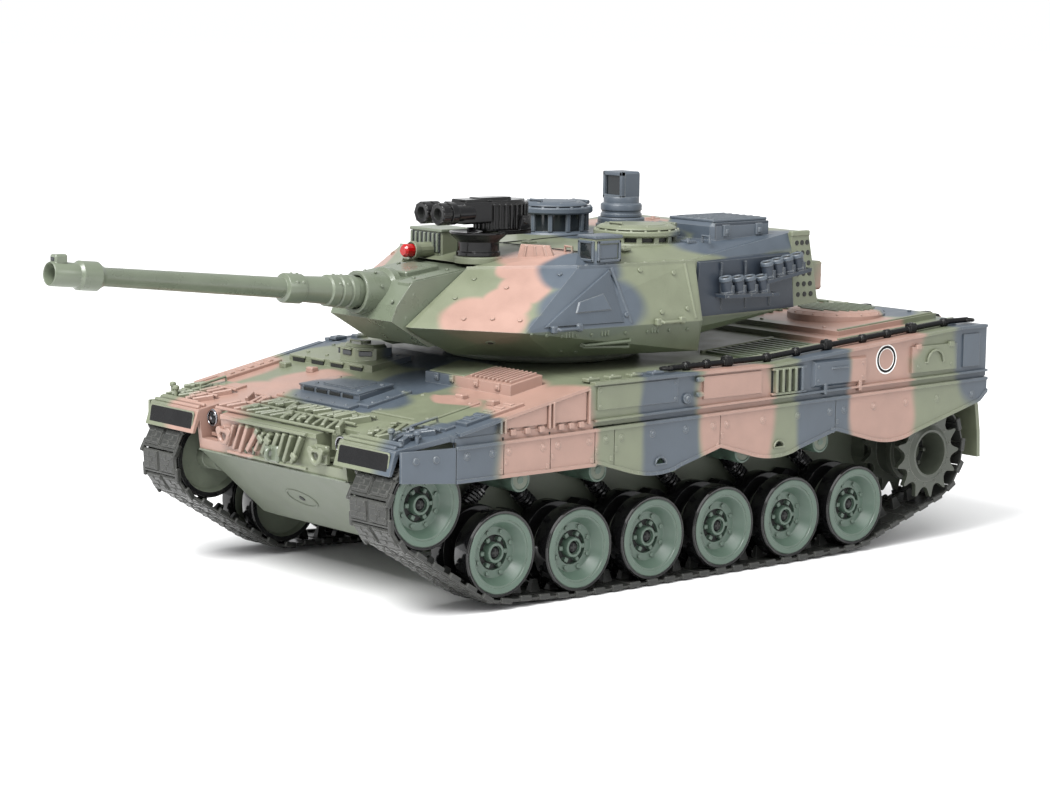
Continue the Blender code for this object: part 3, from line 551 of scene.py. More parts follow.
def star(tip, root, count):
    """A toothed outline about the origin, with pointed teeth and round valleys."""
    flank = ((0, 1.0), (0.07, 0.86), (0.17, 0.42), (0.3, 0.1), (0.5, 0), (0.7, 0.1), (0.83, 0.42),
             (0.93, 0.86))
    return [polar(root + (tip - root) * rise, 2 * math.pi * (i + turn) / count)
            for i in range(count) for turn, rise in flank]


def sprocket_shape():
    """Two toothed rings on a drum, with a bolted hub ring and a cap inside it."""
    shape = Shape("sprocket")
    hole = arc(0, 0, 11.5, 0, 350, 36)
    for low, high in ((9.4, 11.8), (-11.2, -8.8)):
        shape.add(*holed_plate([star(TOOTH_TIP_R, TOOTH_ROOT_R, TEETH), hole], low, high))
    drum = [(13.2, 11.4), (12.6, 9.6), (12.6, 2), (14.2, 1.4), (14.2, -1.4), (12.6, -2), (12.6, -11),
            (8, -12),
            (8, -13.8), (3, -13.8), (3, -25), (0, -25)]
    shape.turned(drum, (0, 0, 0), OUTWARD, 40)
    hub = [(0, 1.4), (2.4, 1.4), (2.6, 2.2), (4.4, 2.2), (4.8, 0.4), (8.9, 0.4), (9.5, 1.6), (9.6, 12.4),
           (9.9, 13.2), (10.9, 13.3), (11.4, 12.8), (13.0, 11.9), (13.2, 11.4)]
    # the dark ring is painted shade on the floor of the hub's deep cup
    shape.turned(hub, (0, 0, 0), OUTWARD, 48, ["sprocket"] * 4 + ["dark"] + ["sprocket"] * 7)
    for angle in angles(TEETH, 180 / TEETH):
        shape.bolt((11.7, *polar(14.3, angle)), OUTWARD, 0.7, 0.4)
    for angle in angles(6):
        shape.block((1.95, *polar(6.8, angle)), (1.65, 0.9, 0.9))
    return shape


def place_wheel(name, mesh, side, node):
    """A shared wheel mesh at a CAD wheel's place. The right side has it turned half round."""
    middle = box_middle(node)
    piece = add_object(name, mesh, point(side * WHEEL_X, middle.y, middle.z))
    if side < 0:
        piece.rotation_euler = (0, 0, math.pi)
    bpy.context.view_layer.update()
    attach(piece, node)
    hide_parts(node)


def build_wheels():
    wheel = wheel_shape()
    road_mesh = wheel.mesh("road_wheel", [v * MM for v in wheel.verts])
    wheel.turned([(5, -8), (5, -21), (3, -21.4), (3, -25), (0, -25)], (0, 0, 0), OUTWARD, 24, ["tub"] * 4)
    idler_mesh = wheel.mesh("idler_wheel", [v * MM for v in wheel.verts])
    sprocket = sprocket_shape()
    sprocket_mesh = sprocket.mesh("drive_sprocket", [v * MM for v in sprocket.verts])
    for side, word in SIDES:
        for number in WHEELS:
            place_wheel(f"wheel_{word}_{number}", road_mesh, side, f"road_wheel_{word}_{number}")
        place_wheel(f"idler_wheel_{word}", idler_mesh, side, f"idler_{word}")
        place_wheel(f"toothed_sprocket_{word}", sprocket_mesh, side, f"sprocket_{word}")


def belt_path():
    """Closely spaced points round the track's running surface: idler, lower run, sprocket and sagging top."""
    nodes = ["idler_left"] + [f"road_wheel_left_{number}" for number in (1, 2, 5, 6)] + ["sprocket_left"]
    circles = [(box_middle(node).y, box_middle(node).z, RUN_R) for node in nodes]
    circles[-1] = (*circles[-1][:2], SPROCKET_RUN_R)
    headings = [90.0]
    for (y0, z0, r0), (y1, z1, r1) in zip(circles, circles[1:]):
        along = math.atan2(z1 - z0, y1 - y0)
        swing = math.asin((r1 - r0) / math.hypot(y1 - y0, z1 - z0))
        headings.append(math.degrees(along - math.pi / 2 - swing) % 360)
    headings.append(450.0)
    points = []
    for (y, z, radius), start, end in zip(circles, headings, headings[1:]):
        end += 360 if end < start else 0
        points += arc(y, z, radius, start, end, max(3, round((end - start) / 2)))
    rear, front = points[-1], points[0]
    count = 120
    for i in range(1, count):
        t = i / count
        drop = SAG * (1 - abs(2 * t - 1) ** 4)
        points.append((rear[0] + (front[0] - rear[0]) * t, rear[1] + (front[1] - rear[1]) * t - drop))
    return points


def belt_stations():
    """Evenly spaced (place, direction of travel) pairs round the track, and their exact spacing."""
    path = belt_path()
    closed = path + path[:1]
    lengths = [0.0]
    for start, end in zip(closed, closed[1:]):
        lengths.append(lengths[-1] + math.dist(start, end))

    def place_at(far):
        far %= lengths[-1]
        i = max(k for k in range(len(path)) if lengths[k] <= far)
        t = (far - lengths[i]) / (lengths[i + 1] - lengths[i])
        return Vector([a + (b - a) * t for a, b in zip(closed[i], closed[i + 1])])

    count = round(lengths[-1] / LINK_PITCH)
    pitch = lengths[-1] / count
    stations = []
    for i in range(count):
        along = place_at((i + 0.5) * pitch) - place_at((i - 0.5) * pitch)
        stations.append((place_at(i * pitch), along.normalized()))
    return stations, pitch


def link_shape(pitch):
    """One track link about its own middle: y runs along the track, z outwards."""
    shape = Shape("track")
    half = pitch / 2
    shape.box((61.9, -half + 0.5, 0.35), (87.0, half - 0.5, 1.2), 0.2)
    for low, high in ((62.6, 73.2), (75.4, 86.2)):
        shape.box((low, -half + 0.75, 0.8), (high, half - 0.75, 1.85), 0.5)
        middle = (low + high) / 2
        for across in (-2.4, 2.4):
            for start, end in ((low + 0.8, middle - 0.5), (middle + 0.5, high - 0.8)):
                shape.box((start, across - 1.0, 1.3), (end, across + 1.0, TRACK_THICK), 0.35)
        shape.box((middle - 1.5, -0.9, 1.3), (middle + 1.5, 0.9, TRACK_THICK))
    for start, end in ((TRACK_WIDTH[0], 63.0), (86.2, TRACK_WIDTH[1])):
        shape.box((start, half - 3.0, -0.9), (end, half + 3.0, 1.5), 0.55)
    shape.rod((62, half, 0.75), (87, half, 0.75), 0.75, 6, bevel=0.05)
    shape.hull([(74.2 + x, y, z) for half_x, half_y, z in ((1.6, 2.6, 0.5), (0.7, 1.3, -4.6))
                for y in (-half_y, half_y) for x in (-half_x, half_x)])
    return shape


def build_tracks():
    stations, pitch = belt_stations()
    link = link_shape(pitch)
    track = Shape("track")
    for (y, z), along in stations:
        outward = Vector((along.y, -along.x))
        verts = [(v.x, y + along.x * v.y + outward.x * v.z, z + along.y * v.y + outward.y * v.z)
                 for v in link.verts]
        track.add(verts, link.faces)
    build_pair(track, "track_links", "hull", ["track"])


def coil(start, end, radius, turns):
    """Points along a coil spring between two points."""
    along = (end - start).normalized()
    side = along.cross(Vector(OUTWARD)).normalized()
    other = along.cross(side)
    count = turns * 10
    spokes = [polar(radius, angle) for angle in angles(count + 1, step=36)]
    return [start + (end - start) * (i / count) + side * a + other * b for i, (a, b) in enumerate(spokes)]


def build_springs():
    """A coil spring round a smooth damper above every road wheel, and the ringed return rollers."""
    springs = Shape("black")
    for number in WHEELS:
        y = box_middle(f"road_wheel_left_{number}").y
        top, foot = Vector((57.5, y - 15, 46.5)), Vector((57.5, y + 0.5, 32.5))
        if number == 1:  # the first one leans the other way
            top, foot = Vector((57.5, y + 15.4, 48.6)), Vector((57.5, y + 3.4, 38))
        if number == 6:  # its foot keeps clear of the arm at the top of its travel
            foot += Vector((0, -1.5, 2.5))
        middle = top.lerp(foot, 0.5)
        springs.rod(top, middle, 3.0, 16, "gloss")
        springs.rod(middle, foot, 1.7, 12, "gloss")
        springs.tube(coil(top.lerp(foot, 0.3), foot, 3.0, 7), 0.75, 6, "coil")
        for place in (top, foot):
            springs.rod((52.5, *place.yz), (59.5, *place.yz), 2.4, 14, "tub", bevel=0.4)
    build_pair(springs, "spring_dampers", "hull")
    rollers = Shape("wheel")
    profile = [(0, 84.2), (1.6, 84.2), (1.8, 83.7), (3.4, 83.7), (4.2, 84.3), (4.9, 84.0), (5.05, 83.4),
               (5.05, 77),
               (4.86, 76.6), (4.86, 72), (5.05, 71.6), (5.05, 64), (4.86, 63.4), (0, 63.4)]
    for y in (69.0, 111.0, 153.0, 195.0, 243.0):
        rollers.turned(profile, (0, y, 52.0), OUTWARD, 24)
    build_pair(rollers, "return_rollers", "hull")


def paint_nodes():
    """Paint for the CAD nodes that stay in view, left and right ones by their shared name."""
    paints = {"camo": ["hull_deck", "commander_hatch", "loader_hatch", "skirt", "headlight"],
              "turret_camo": ["turret_shell"], "olive": ["mudflap"], "slate": ["panorama_sight",
                                                                               "smoke_rack"],
              "tub": ["hull_tub", "turret_ring", "circuit_board"], "sage": ["mantlet", "gun_barrel"],
              "gloss": ["roof_gun_pedestal", "roof_gun_pair"], "red": ["red_lamp"],
              "black": ["battery_cover", "power_switch", "battery_pack", "tow_rod", "gearbox", "swing_arm"]}
    for node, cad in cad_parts.items():
        for key, names in paints.items():
            if any(node == name or node.startswith((name + "_left", name + "_right")) for name in names):
                for material_slot in cad.material_slots:
                    material_slot.material = MATERIALS[key]


# ---------------------------------------------------------------- studio


def aim_at(lamp, direction):
    lamp.rotation_euler = direction.to_track_quat("-Z", "Y").to_euler()


def paper_material():
    """White paper with a faint grain, which is lighter further from the tank."""
    paper = bpy.data.materials.new("paper")
    paper.use_nodes = True
    tree = paper.node_tree
    shader = tree.nodes["Principled BSDF"]
    place = add_node(tree, "ShaderNodeTexCoord").outputs["Object"]
    near = mix_colour(tree, noise(tree, place, 3.0, 2.0), (0.76, 0.76, 0.76), (0.79, 0.79, 0.79))
    away = remap(tree, vector_node(tree, "LENGTH", place), 0.4, 1.2)
    tree.links.new(mix_colour(tree, away, near, (0.99, 0.99, 0.99)), shader.inputs["Base Color"])
    shader.inputs["Roughness"].default_value = 0.9
    return paper


def build_studio():
    """A white sweep under a soft dome that is brighter low down, with a wide sun and two area lamps."""
    scene = bpy.context.scene
    scene.view_settings.view_transform = "Standard"
    scene.world = bpy.data.worlds.new("studio")
    scene.world.use_nodes = True
    tree = scene.world.node_tree
    sky = tree.nodes["Background"]
    sky.inputs["Color"].default_value = (0.98, 0.99, 1.0, 1)
    direction = add_node(tree, "ShaderNodeTexCoord").outputs["Generated"]
    height = add_node(tree, "ShaderNodeSeparateXYZ", {0: direction}).outputs["Z"]
    dome = remap(tree, height, 0.1, 0.4, 1.02, 0.72, interpolation_type="SMOOTHSTEP")
    tree.links.new(dome, sky.inputs["Strength"])

    floor_mesh = bpy.data.meshes.new("floor")
    reach = 9.0
    floor_mesh.from_pydata([(-reach, -reach, 0), (reach, -reach, 0), (reach, reach, 0), (-reach, reach, 0)],
                           [],
                           [(0, 1, 2, 3)])
    floor_mesh.materials.append(paper_material())
    staged = [add_object("floor", floor_mesh)]

    sun = bpy.data.lights.new("sun", "SUN")
    sun.energy = 2.0
    sun.angle = math.radians(50)
    staged.append(add_object("sun", sun))
    aim_at(staged[-1], Vector((-0.45, 0.5, -1.0)))
    for name, place, size, power in (("key", (250, -1000, 1400), 0.9, 50),
                                     ("fill", (1500, 500, 900), 0.5, 5)):
        light = bpy.data.lights.new(name, "AREA")
        light.size = size
        light.energy = power
        staged.append(add_object(name, light, point(*place)))
        aim_at(staged[-1], point(0, 150, 90) - point(*place))


def build_camera():
    """The camera of the picture: three-quarter front view from a little above the deck."""
    azimuth, elevation, roll = (math.radians(angle) for angle in (49.619, 8.077, 0.788))
    level = Vector((math.sin(azimuth), -math.cos(azimuth), 0))
    back = level * math.cos(elevation) + Vector((0, 0, math.sin(elevation)))
    right = (-back).cross(Vector(UPWARD)).normalized()
    up = right.cross(-back)
    across = right * math.cos(roll) + up * math.sin(roll)
    upright = up * math.cos(roll) - right * math.sin(roll)
    lens = bpy.data.cameras.new("camera")
    lens.lens = 99.88
    lens.sensor_width = 36
    lens.clip_end = 20
    camera = add_object("camera", lens)
    turn = Matrix((across, upright, back)).transposed().to_4x4()
    camera.matrix_world = Matrix.Translation(point(970.91, -683.45, 249.83)) @ turn
    bpy.context.scene.camera = camera


# ---------------------------------------------------------------- hull sides

WALL_X = 91.4  # the hull's side wall, which fittings stand on
SKIRT_OUT_X = 93.1  # the skirt's plate, below the bolts and lips that reach its full width
SKIRT_IN_X = 91.8
FULL_X = 93.9
DECK_Z = 90.0
TAIL_Z = 98.5
RISE_Y = (205.0, 325.0)  # where the deck rises towards the tail
GLACIS = ((3.2, 70.2), (100.0, 89.0))  # the sloping front deck's ends, as (y, z)
SKIRT_Y = (28.2, 343.0)
PEAKS = ((102.0, 56.6), (172.4, 57.0), (243.0, 58.0))
LOWS = ((135.5, 48.5), (205.4, 49.2), (279.0, 49.6))
SKIRT_SEAMS_Y = (52.5, 77.0, 101.0, 111.7, 172.2, 242.6)
SKIRT_BOLTS_Y = (33.5, 46.7, 55, 73, 81, 98, 107, 115.5, 133, 152, 168, 176, 197.6, 219, 239, 248, 267, 288,
                 309,
                 333)
SKIRT_HOLES_YZ = ((137.7, 53.2), (207.5, 54.0))


def deck_height(y):
    """The height of the deck at a distance back."""
    share = min(max((y - RISE_Y[0]) / (RISE_Y[1] - RISE_Y[0]), 0), 1)
    return DECK_Z + (TAIL_Z - DECK_Z) * share


def skirt_top(y):
    """The height of the skirt's upper edge, which rises gently to the back."""
    return 70.4 + (y - 27.4) * 4.1 / 315.6


def glacis_height(y):
    """The height of the sloping front deck at a distance back."""
    (y0, z0), (y1, z1) = GLACIS
    return z0 + (y - y0) * (z1 - z0) / (y1 - y0)


def skirt_lower_edge():
    """The scalloped lower edge as (y, z) points from front to back, each dip a smooth curve."""
    points = [(SKIRT_Y[0], 55.6), (101.0, 55.6)]
    for (peak_y, peak_z), (low_y, low_z) in zip(PEAKS, LOWS):
        points += [(peak_y, peak_z), (low_y - 14, low_z + 2.2)]
        points += [(low_y - 14 + 28 * i / 8, low_z + 0.2 + 2.1 * (i / 4 - 1) ** 2) for i in range(1, 8)]
        points.append((low_y + 14, low_z + 2.6))
    return points + [(338.0, 63.4), (SKIRT_Y[1], 67.5)]


def edge_point(edge, y):
    """The place on a run of (y, z) points at a distance back."""
    i = max(k for k in range(len(edge) - 1) if edge[k][0] <= max(y, edge[0][0]))
    (y0, z0), (y1, z1) = edge[i], edge[i + 1]
    return y, z0 + (z1 - z0) * (y - y0) / (y1 - y0)


def build_skirts():
    """The side skirts: scalloped plates with seams, bolts, a lip and rimmed half-round holes."""
    skirt = Shape("camo")
    lower = skirt_lower_edge()
    cuts = [SKIRT_Y[0], *SKIRT_SEAMS_Y, SKIRT_Y[1]]
    for start, end in zip(cuts, cuts[1:]):
        first, last = edge_point(lower, start + 0.22), edge_point(lower, end - 0.22)
        between = [(y, z) for y, z in lower if start + 0.3 < y < end - 0.3]
        loops = [[first, *between, last, (last[0], skirt_top(end)), (first[0], skirt_top(start))]]
        loops += [arc(y, z, 2.6, 0, 180, 11) for y, z in SKIRT_HOLES_YZ if start < y < end]
        skirt.add(*holed_plate(loops, SKIRT_IN_X, SKIRT_OUT_X))
        skirt.box((SKIRT_IN_X - 0.4, start, 60), (SKIRT_IN_X + 0.5, start + 0.6, 72), 0.1, "dark")
    skirt.strip(lower, 0.1, 1.5, SKIRT_OUT_X - 0.5, FULL_X - 0.2)
    skirt.strip([(y, skirt_top(y)) for y in (28.6, 101, 342.6)], -1.3, -0.1, SKIRT_OUT_X - 0.5, FULL_X)
    for y, z in SKIRT_HOLES_YZ:
        rim = [(FULL_X - 0.4, a, b) for a, b in arc(y, z, 3.0, 0, 180, 13)]
        skirt.tube(rim + rim[:1], 0.4, 6)
    for y in SKIRT_BOLTS_Y:
        z = 66.2 + (y - 33) * 0.003
        skirt.rod((SKIRT_OUT_X - 0.3, y, z), (SKIRT_OUT_X + 0.35, y, z), 1.6, 20, bevel=0.2)
        skirt.rod((SKIRT_OUT_X, y, z), (FULL_X - 0.1, y, z), 0.9, 6, bevel=0.2)
    for y in SKIRT_SEAMS_Y:
        skirt.box((SKIRT_OUT_X - 0.3, y - 2.4, 57.2), (SKIRT_OUT_X + 0.4, y - 0.6, 59.4), 0.2)
        skirt.box((SKIRT_OUT_X - 0.3, y + 0.6, 61.0), (SKIRT_OUT_X + 0.4, y + 1.8, 63.0), 0.2)
    nose_x, nose_y = 89.6, 3.6
    skirt.hull([(x, y, z) for x, y in ((SKIRT_OUT_X, 28.0), (SKIRT_IN_X, 28.0), (88.3, nose_y),
                                       (nose_x, nose_y))
                for z in (57.6 if y < 10 else 55.8, 70.0)])
    for y in (10.0, 19.0):
        x = nose_x + (SKIRT_OUT_X - nose_x) * (y - nose_y) / 24.4
        skirt.rod((x - 0.3, y, 66), (x + 0.5, y, 66), 1.4, 16, bevel=0.2)
    build_pair(skirt, "side_skirt", "hull", ["skirt"])


def build_side_fittings():
    """Boxes, ribs, panels and handles along the hull's side wall above the skirt, from front to back."""
    side = Shape("camo")
    root = WALL_X - 0.3

    def panel(y0, y1, z0, z1, x):
        side.hull(prism((root, x), (y0, y1), (z0, z1)))

    for y in (51.0, 53.2, 76.4, 78.6, 97.8):
        side.box((WALL_X - 0.4, y - 0.5, 73.5), (FULL_X - 0.3, y + 0.5, glacis_height(y) - 0.6), 0.2)
    for start, end in ((54.4, 75.4), (79.8, 96.6)):
        side.hull([(x, y, z) for y in (start, end) for z in (75.4, glacis_height(y) - 1.4) for x in (root,
                                                                                                     92.5)])
        for y in (start + 3, (start + end) / 2, end - 3):
            side.box((WALL_X, y - 1.3, 72.4), (FULL_X - 0.4, y + 1.3, 74.8))
    long_lip = [(y, deck_height(y)) for y in (101, *RISE_Y, 342.5)]
    ledge = [(y, skirt_top(y) + 2.6) for y in (101, 343)]
    side.strip([(y, skirt_top(y)) for y in (28.5, 101)], -1.2, 3.0, WALL_X - 1.0, 91.9)
    side.strip([(y, glacis_height(y)) for y in (30, 98)], -1.1, 0.25, WALL_X - 1.5, FULL_X - 0.5)
    side.strip(long_lip, -1.0, 0.3, WALL_X - 1.8, FULL_X - 0.9)
    side.strip(ledge, 0.0, 0.9, WALL_X - 0.4, FULL_X - 0.6)

    side.rod((root, 153.4, 79.4), (WALL_X + 1.2, 153.4, 79.4), 2.3, 28, bevel=0.3)
    side.rod((WALL_X, 153.4, 79.4), (WALL_X + 1.7, 153.4, 79.4), 1.1, 6, bevel=0.2)
    panel(103, 148, 78.6, 88.2, 92.1)
    side.bolts(prism([92.1], (104.5, 146.5), (80, 86.8)), OUTWARD, 0.7, 0.4)
    for z in (79.6, 86.0):
        side.box((WALL_X, 158.4, z), (FULL_X - 0.4, 161.6, z + 2.2), 0.4)
        side.rod((93.0, 158.0, z + 1.1), (93.0, 162.0, z + 1.1), 0.8, 10)
    panel(162.8, 197.2, 78.4, 88.0, 92.3)
    # a dark plate behind the ribs: painted shade in the vent's slots
    side.box((WALL_X - 0.5, 203.5, 77.4), (91.6, 223.6, 88.2), 0.2, "dark")
    side.row(5, (0, 3.9, 0), (root, 204.85, 77.6), (FULL_X - 0.2, 206.35, 88.0), 0.35)
    side.row(2, (0, 0, 10.8), (root, 203.2, 76.7), (FULL_X - 0.7, 223.8, 77.7), 0.2)
    side.hull(prism([root], (228, 263), (77.6, 90.4)) + prism([93.0], (229.6, 261.4), (79.2, 88.8)))
    side.tube([(92.7, 240, 85.8), (93.4, 240.3, 86.0), (93.4, 249.7, 86.0), (92.7, 250, 85.8)], 0.45)
    for y in (236, 258):
        side.box((WALL_X, y - 0.9, 74.6), (FULL_X - 0.5, y + 0.9, 79.4))
    side.bolts(prism([92.9], (231.5, 259.5), (81, 87)), OUTWARD, 0.65, 0.4)
    ring = [(4.6, 91.2), (4.6, 91.62), (4.9, 91.62), (6.1, 91.62), (6.7, 91.62), (6.7, 91.2)]
    side.turned(ring, (0, 276, 87.2), OUTWARD, 48, ["white", "white", "black", "white", "white"])
    panel(292, 322, 79.8, 91.6, 92.7)
    handle = [(93.4, y, z) for y, z in arc(307, 84, 5.4, 180, 0, 9)]
    side.tube([(92.5, 301, 84), *handle, (92.5, 313, 84)], 0.5)
    for y in (296, 318):
        side.box((WALL_X, y - 1.6, 90.2), (FULL_X - 0.4, y + 1.6, 92.6), 0.35)
        side.bolt((92.7, y, 82.4), OUTWARD, 0.7, 0.4)
    panel(327, 338, 80, 95, 92.3)
    build_pair(side, "side_fittings", "hull")


# ---------------------------------------------------------------- front and deck


def build_front_plate(front, side):
    """A blank black plate in an olive frame, on a mudguard's front."""
    slope = Vector((0, 1.5, 9.3)).normalized()
    middle = Vector((side * 68, 0.8, 60.6)) + slope * 4.4
    cut = 0.8
    for width, height, lift, paint in ((16.5, 4.4, 0.3, "olive"), (15.9, 3.8, 0.5, "black")):
        outline = [(-width + cut, -height), (width - cut, -height), (width, -height + cut),
                   (width, height - cut),
                   (width - cut, height), (-width + cut, height), (-width, height - cut), (-width,
                                                                                           -height + cut)]
        front.plate(outline, middle, (1, 0, 0), slope, lift, paint)


def build_shackle(front, side):
    """A towing shackle on a block, with its pin."""
    middle = Vector((side * 32.5 + 4, 3.6, 61))
    front.box(middle - Vector((4.4, 0.4, 2.6)), middle + Vector((4.4, 2, 5.2)), 0.6)
    for across in (-3.4, 3.4):
        front.rod(middle + Vector((across, 1, 3)), middle + Vector((across, -3.0, 3)), 1.7, 16)
    bow = [middle + Vector((3.5 * math.cos(a), -2.2, 2.6 + 4.6 * math.sin(a))) for a in angles(13, 180, 15)]
    front.tube(bow, 1.05, 10)
    front.rod(middle + Vector((-5.2, -2.2, 3)), middle + Vector((5.2, -2.2, 3)), 0.8, 10)


def build_front():
    """The nose: blank front plates, shackles, hook, lamp brackets and the mirror posts."""
    front = Shape("camo")
    for side in (-1, 1):
        build_front_plate(front, side)
        for y, z in ((4.6, 70.9), (7.4, 71.6)):
            front.rod((side * 51.5, y, z), (side * 85, y, z), 0.9, 10, bevel=0.5)
        build_shackle(front, side)
        front.box((side * 42 - 7.8, 9.5, 58.6), (side * 42 + 7.8, 13.8, 60.4))
        front.box((side * 39 - 2.6, 9, 63.5), (side * 39 + 1.6, 13.9, 70.5), 0.5, "olive")
        for x, y in ((76, 9), (86, 14)):
            front.rod((side * x, y, 70.5), (side * x, y, 76.0), 0.9)
            front.rod((side * x, y, 75.2), (side * x, y, 77.4), 1.5, 16, bevel=0.6)
    front.box((1.2, 0.6, 55.5), (10.8, 4.6, 62.5), 0.8, "sage")
    hook = [(6, y, z) for y, z in arc(0.8, 59, 2.2, 80, 250, 9)]
    front.tube([(6, 3, 61), *hook], 1.0, 10, "sage")
    front.turned([(3.5, 0.3), (3.4, 1.0), (2.6, 1.0), (2.6, 0.3)], (-12.5, 3.9, 57.5), FORWARD, 28,
                 ["sage"] * 3)
    front.box((-52, 4.6, 52.7), (52, 5.9, 53.5), 0.2, "sage")
    down = Vector((0, 38.4 - 5.8, 22.8 - 52.8)).normalized()
    middle = Vector((-2.5, 23.0, 36.97))
    oval = [middle + Vector((9.5 * math.cos(a), 0, 0)) + down * 5.6 * math.sin(a) for a in angles(25,
                                                                                                  step=15)]
    front.tube(oval, 0.55, 8, "tub")
    # a dark disc: painted shade in the hole within the oval
    front.rod(middle + Vector((0, 0.4, 0.4)), middle - Vector((0, 0.25, 0.27)), 1.5, 20, "dark")
    build_one(front, "nose_fittings", "hull")


def build_headlights():
    """Round headlights: a housing in the hull's paint, a bright rim, and a dark lens with a bright middle."""
    lamp = Shape("camo")
    profile = [(0, 8.0), (0.9, 7.9), (1.7, 7.5), (2.5, 6.9), (2.8, 6.2), (3.0, 7.2), (3.5, 7.2), (3.8, 6.6),
               (3.8, 0), (0, 0)]
    paints = ["mirror"] + ["gloss"] * 3 + ["mirror"] * 3 + ["camo"] * 2
    lamp.turned(profile, (45.5, 14, 67), FORWARD, 28, paints)
    build_pair(lamp, "headlamp", "hull", ["headlight"])


def on_glacis(x, y, lift):
    return Vector((x, y, glacis_height(y) + lift))


def slab_on_glacis(shape, xs, ys, low, high):
    """A low plate with a bevelled top that follows the slope of the front deck."""
    bevel = 0.3
    corners = []
    for x, inward_x in zip(sorted(xs), (bevel, -bevel)):
        for y, inward_y in zip(ys, (bevel, -bevel)):
            corners += [on_glacis(x, y, low), on_glacis(x, y, high - bevel)]
            corners.append(on_glacis(x + inward_x, y + inward_y, high))
    shape.hull(corners)


def link_rack(shape, origin, up, width, depth, rows, seed):
    """Spare track links in rows: slanting bars with pads between round rails, a little out of line."""
    draw = random.Random(seed)
    origin, across, up = Vector(origin), Vector((1, 0, 0)), Vector(up).normalized()
    frame_turn = Matrix((across, up, across.cross(up))).transposed().to_4x4()
    pitch = 5.2
    reach = depth / rows
    for row in range(rows):
        lean = draw.choice((-1, 1))
        for i in range(int(width / pitch)):
            if draw.random() < 0.25:
                lean = -lean
            turn = frame_turn @ Matrix.Rotation(lean * math.radians(draw.uniform(20, 42)), 4, "Z")
            middle = origin + frame_turn @ Vector((pitch * (i + 0.5), reach * (row + 0.5), 0.7))
            half = (draw.uniform(0.7, 1.2), reach * draw.uniform(0.38, 0.5), draw.uniform(1.0, 2.1))
            shape.block(middle, half, turn=turn)
            if draw.random() < 0.45:
                pad = middle + turn @ Vector((0.6, draw.uniform(-3, 3), 1.3))
                shape.block(pad, (draw.uniform(1.4, 2.4), draw.uniform(0.9, 1.6), 0.8), turn=turn)
    for row in range(rows + 1):
        start = origin + frame_turn @ Vector((0, reach * row, 1.1))
        shape.rod(start, start + across * width, 0.75, 8)


def build_glacis():
    """What lies on the sloping front deck."""
    deck = Shape("camo")
    slope = (0, GLACIS[1][0] - GLACIS[0][0], GLACIS[1][1] - GLACIS[0][1])
    normal = (0, -0.19, 1)
    link_rack(deck, on_glacis(-42, 7, 0), slope, 84, 21, 2, 3)
    link_rack(deck, (-27, 3.5, 55.6), (0, -0.05, 1), 56, 14, 1, 8)
    link_rack(deck, on_glacis(57, 8, 0), slope, 27, 20, 2, 5)
    link_rack(deck, on_glacis(-84, 8, 0), slope, 27, 20, 2, 6)
    slab_on_glacis(deck, (-33, 18), (31.5, 40.5), -0.3, 1.3)
    slab_on_glacis(deck, (14.5, 24), (37, 60), -0.3, 1.3)
    deck.bolts([on_glacis(x, 33.2, 1.2) for x in (-31, -22, -13, -4, 5, 14)], normal, 0.75)
    deck.bolts([on_glacis(22, y, 1.2) for y in (41, 49, 57)], normal, 0.75)
    rise = Vector((0, 20, 2.5)).normalized()
    deck.plate([(-25, -10.8), (17, -10.8), (15, 9.5), (-21, 9.5)], (-4.5, 51.5, 81.7), (1, 0, 0), rise, 0.8)
    deck.plate([(-14, -6), (8, -6), (8, 6), (-14, 6)], (-4.5, 51.5, 82.4), (1, 0, 0), rise, 0.7)
    # dark boxes: painted shade in the slots of the hatch plate
    deck.row(4, (9.2, 0, 0), (-26, 40.6, 77.9), (-19, 41.3, 80.0), 0.1, "dark")
    deck.row(4, (9.2, 0, 0), (-26.6, 40.2, 77.6), (-25.9, 41.4, 80.4), 0.15)
    for x in (-22.32, 7.44):
        deck.bolts([(x, y, 82.2 + (y - 51) * 0.125) for y in (45, 57)], (0, -0.12, 1), 0.9, 0.7)
    slab_on_glacis(deck, (30, 66), (34, 62), -0.3, 0.7)
    for x in (32.5, 63.5):
        deck.bolts([on_glacis(x, y, 0.6) for y in (37, 59)], normal, 0.8)
    for x in (-72, -52, 52, 72):
        deck.box(on_glacis(x - 2.4, 62, -0.4), on_glacis(x + 2.4, 66, 1.6), 0.5)
    for side in (-1, 1):
        slab_on_glacis(deck, (side * 60, side * 84), (30, 35), -0.3, 1.1)
        slab_on_glacis(deck, (side * 80, side * 87), (38, 68), -0.3, 1.4)
        for i in range(5):
            slab_on_glacis(deck, (side * 81, side * 86), (41 + 5.2 * i, 43.2 + 5.2 * i), 1.2, 2.3)
        deck.tube([on_glacis(side * 74, y, lift) for y, lift in ((20, 0), (20.5, 3.4), (33.5, 3.4), (34, 0))],
                  0.6)
    build_one(deck, "glacis_fittings", "hull")


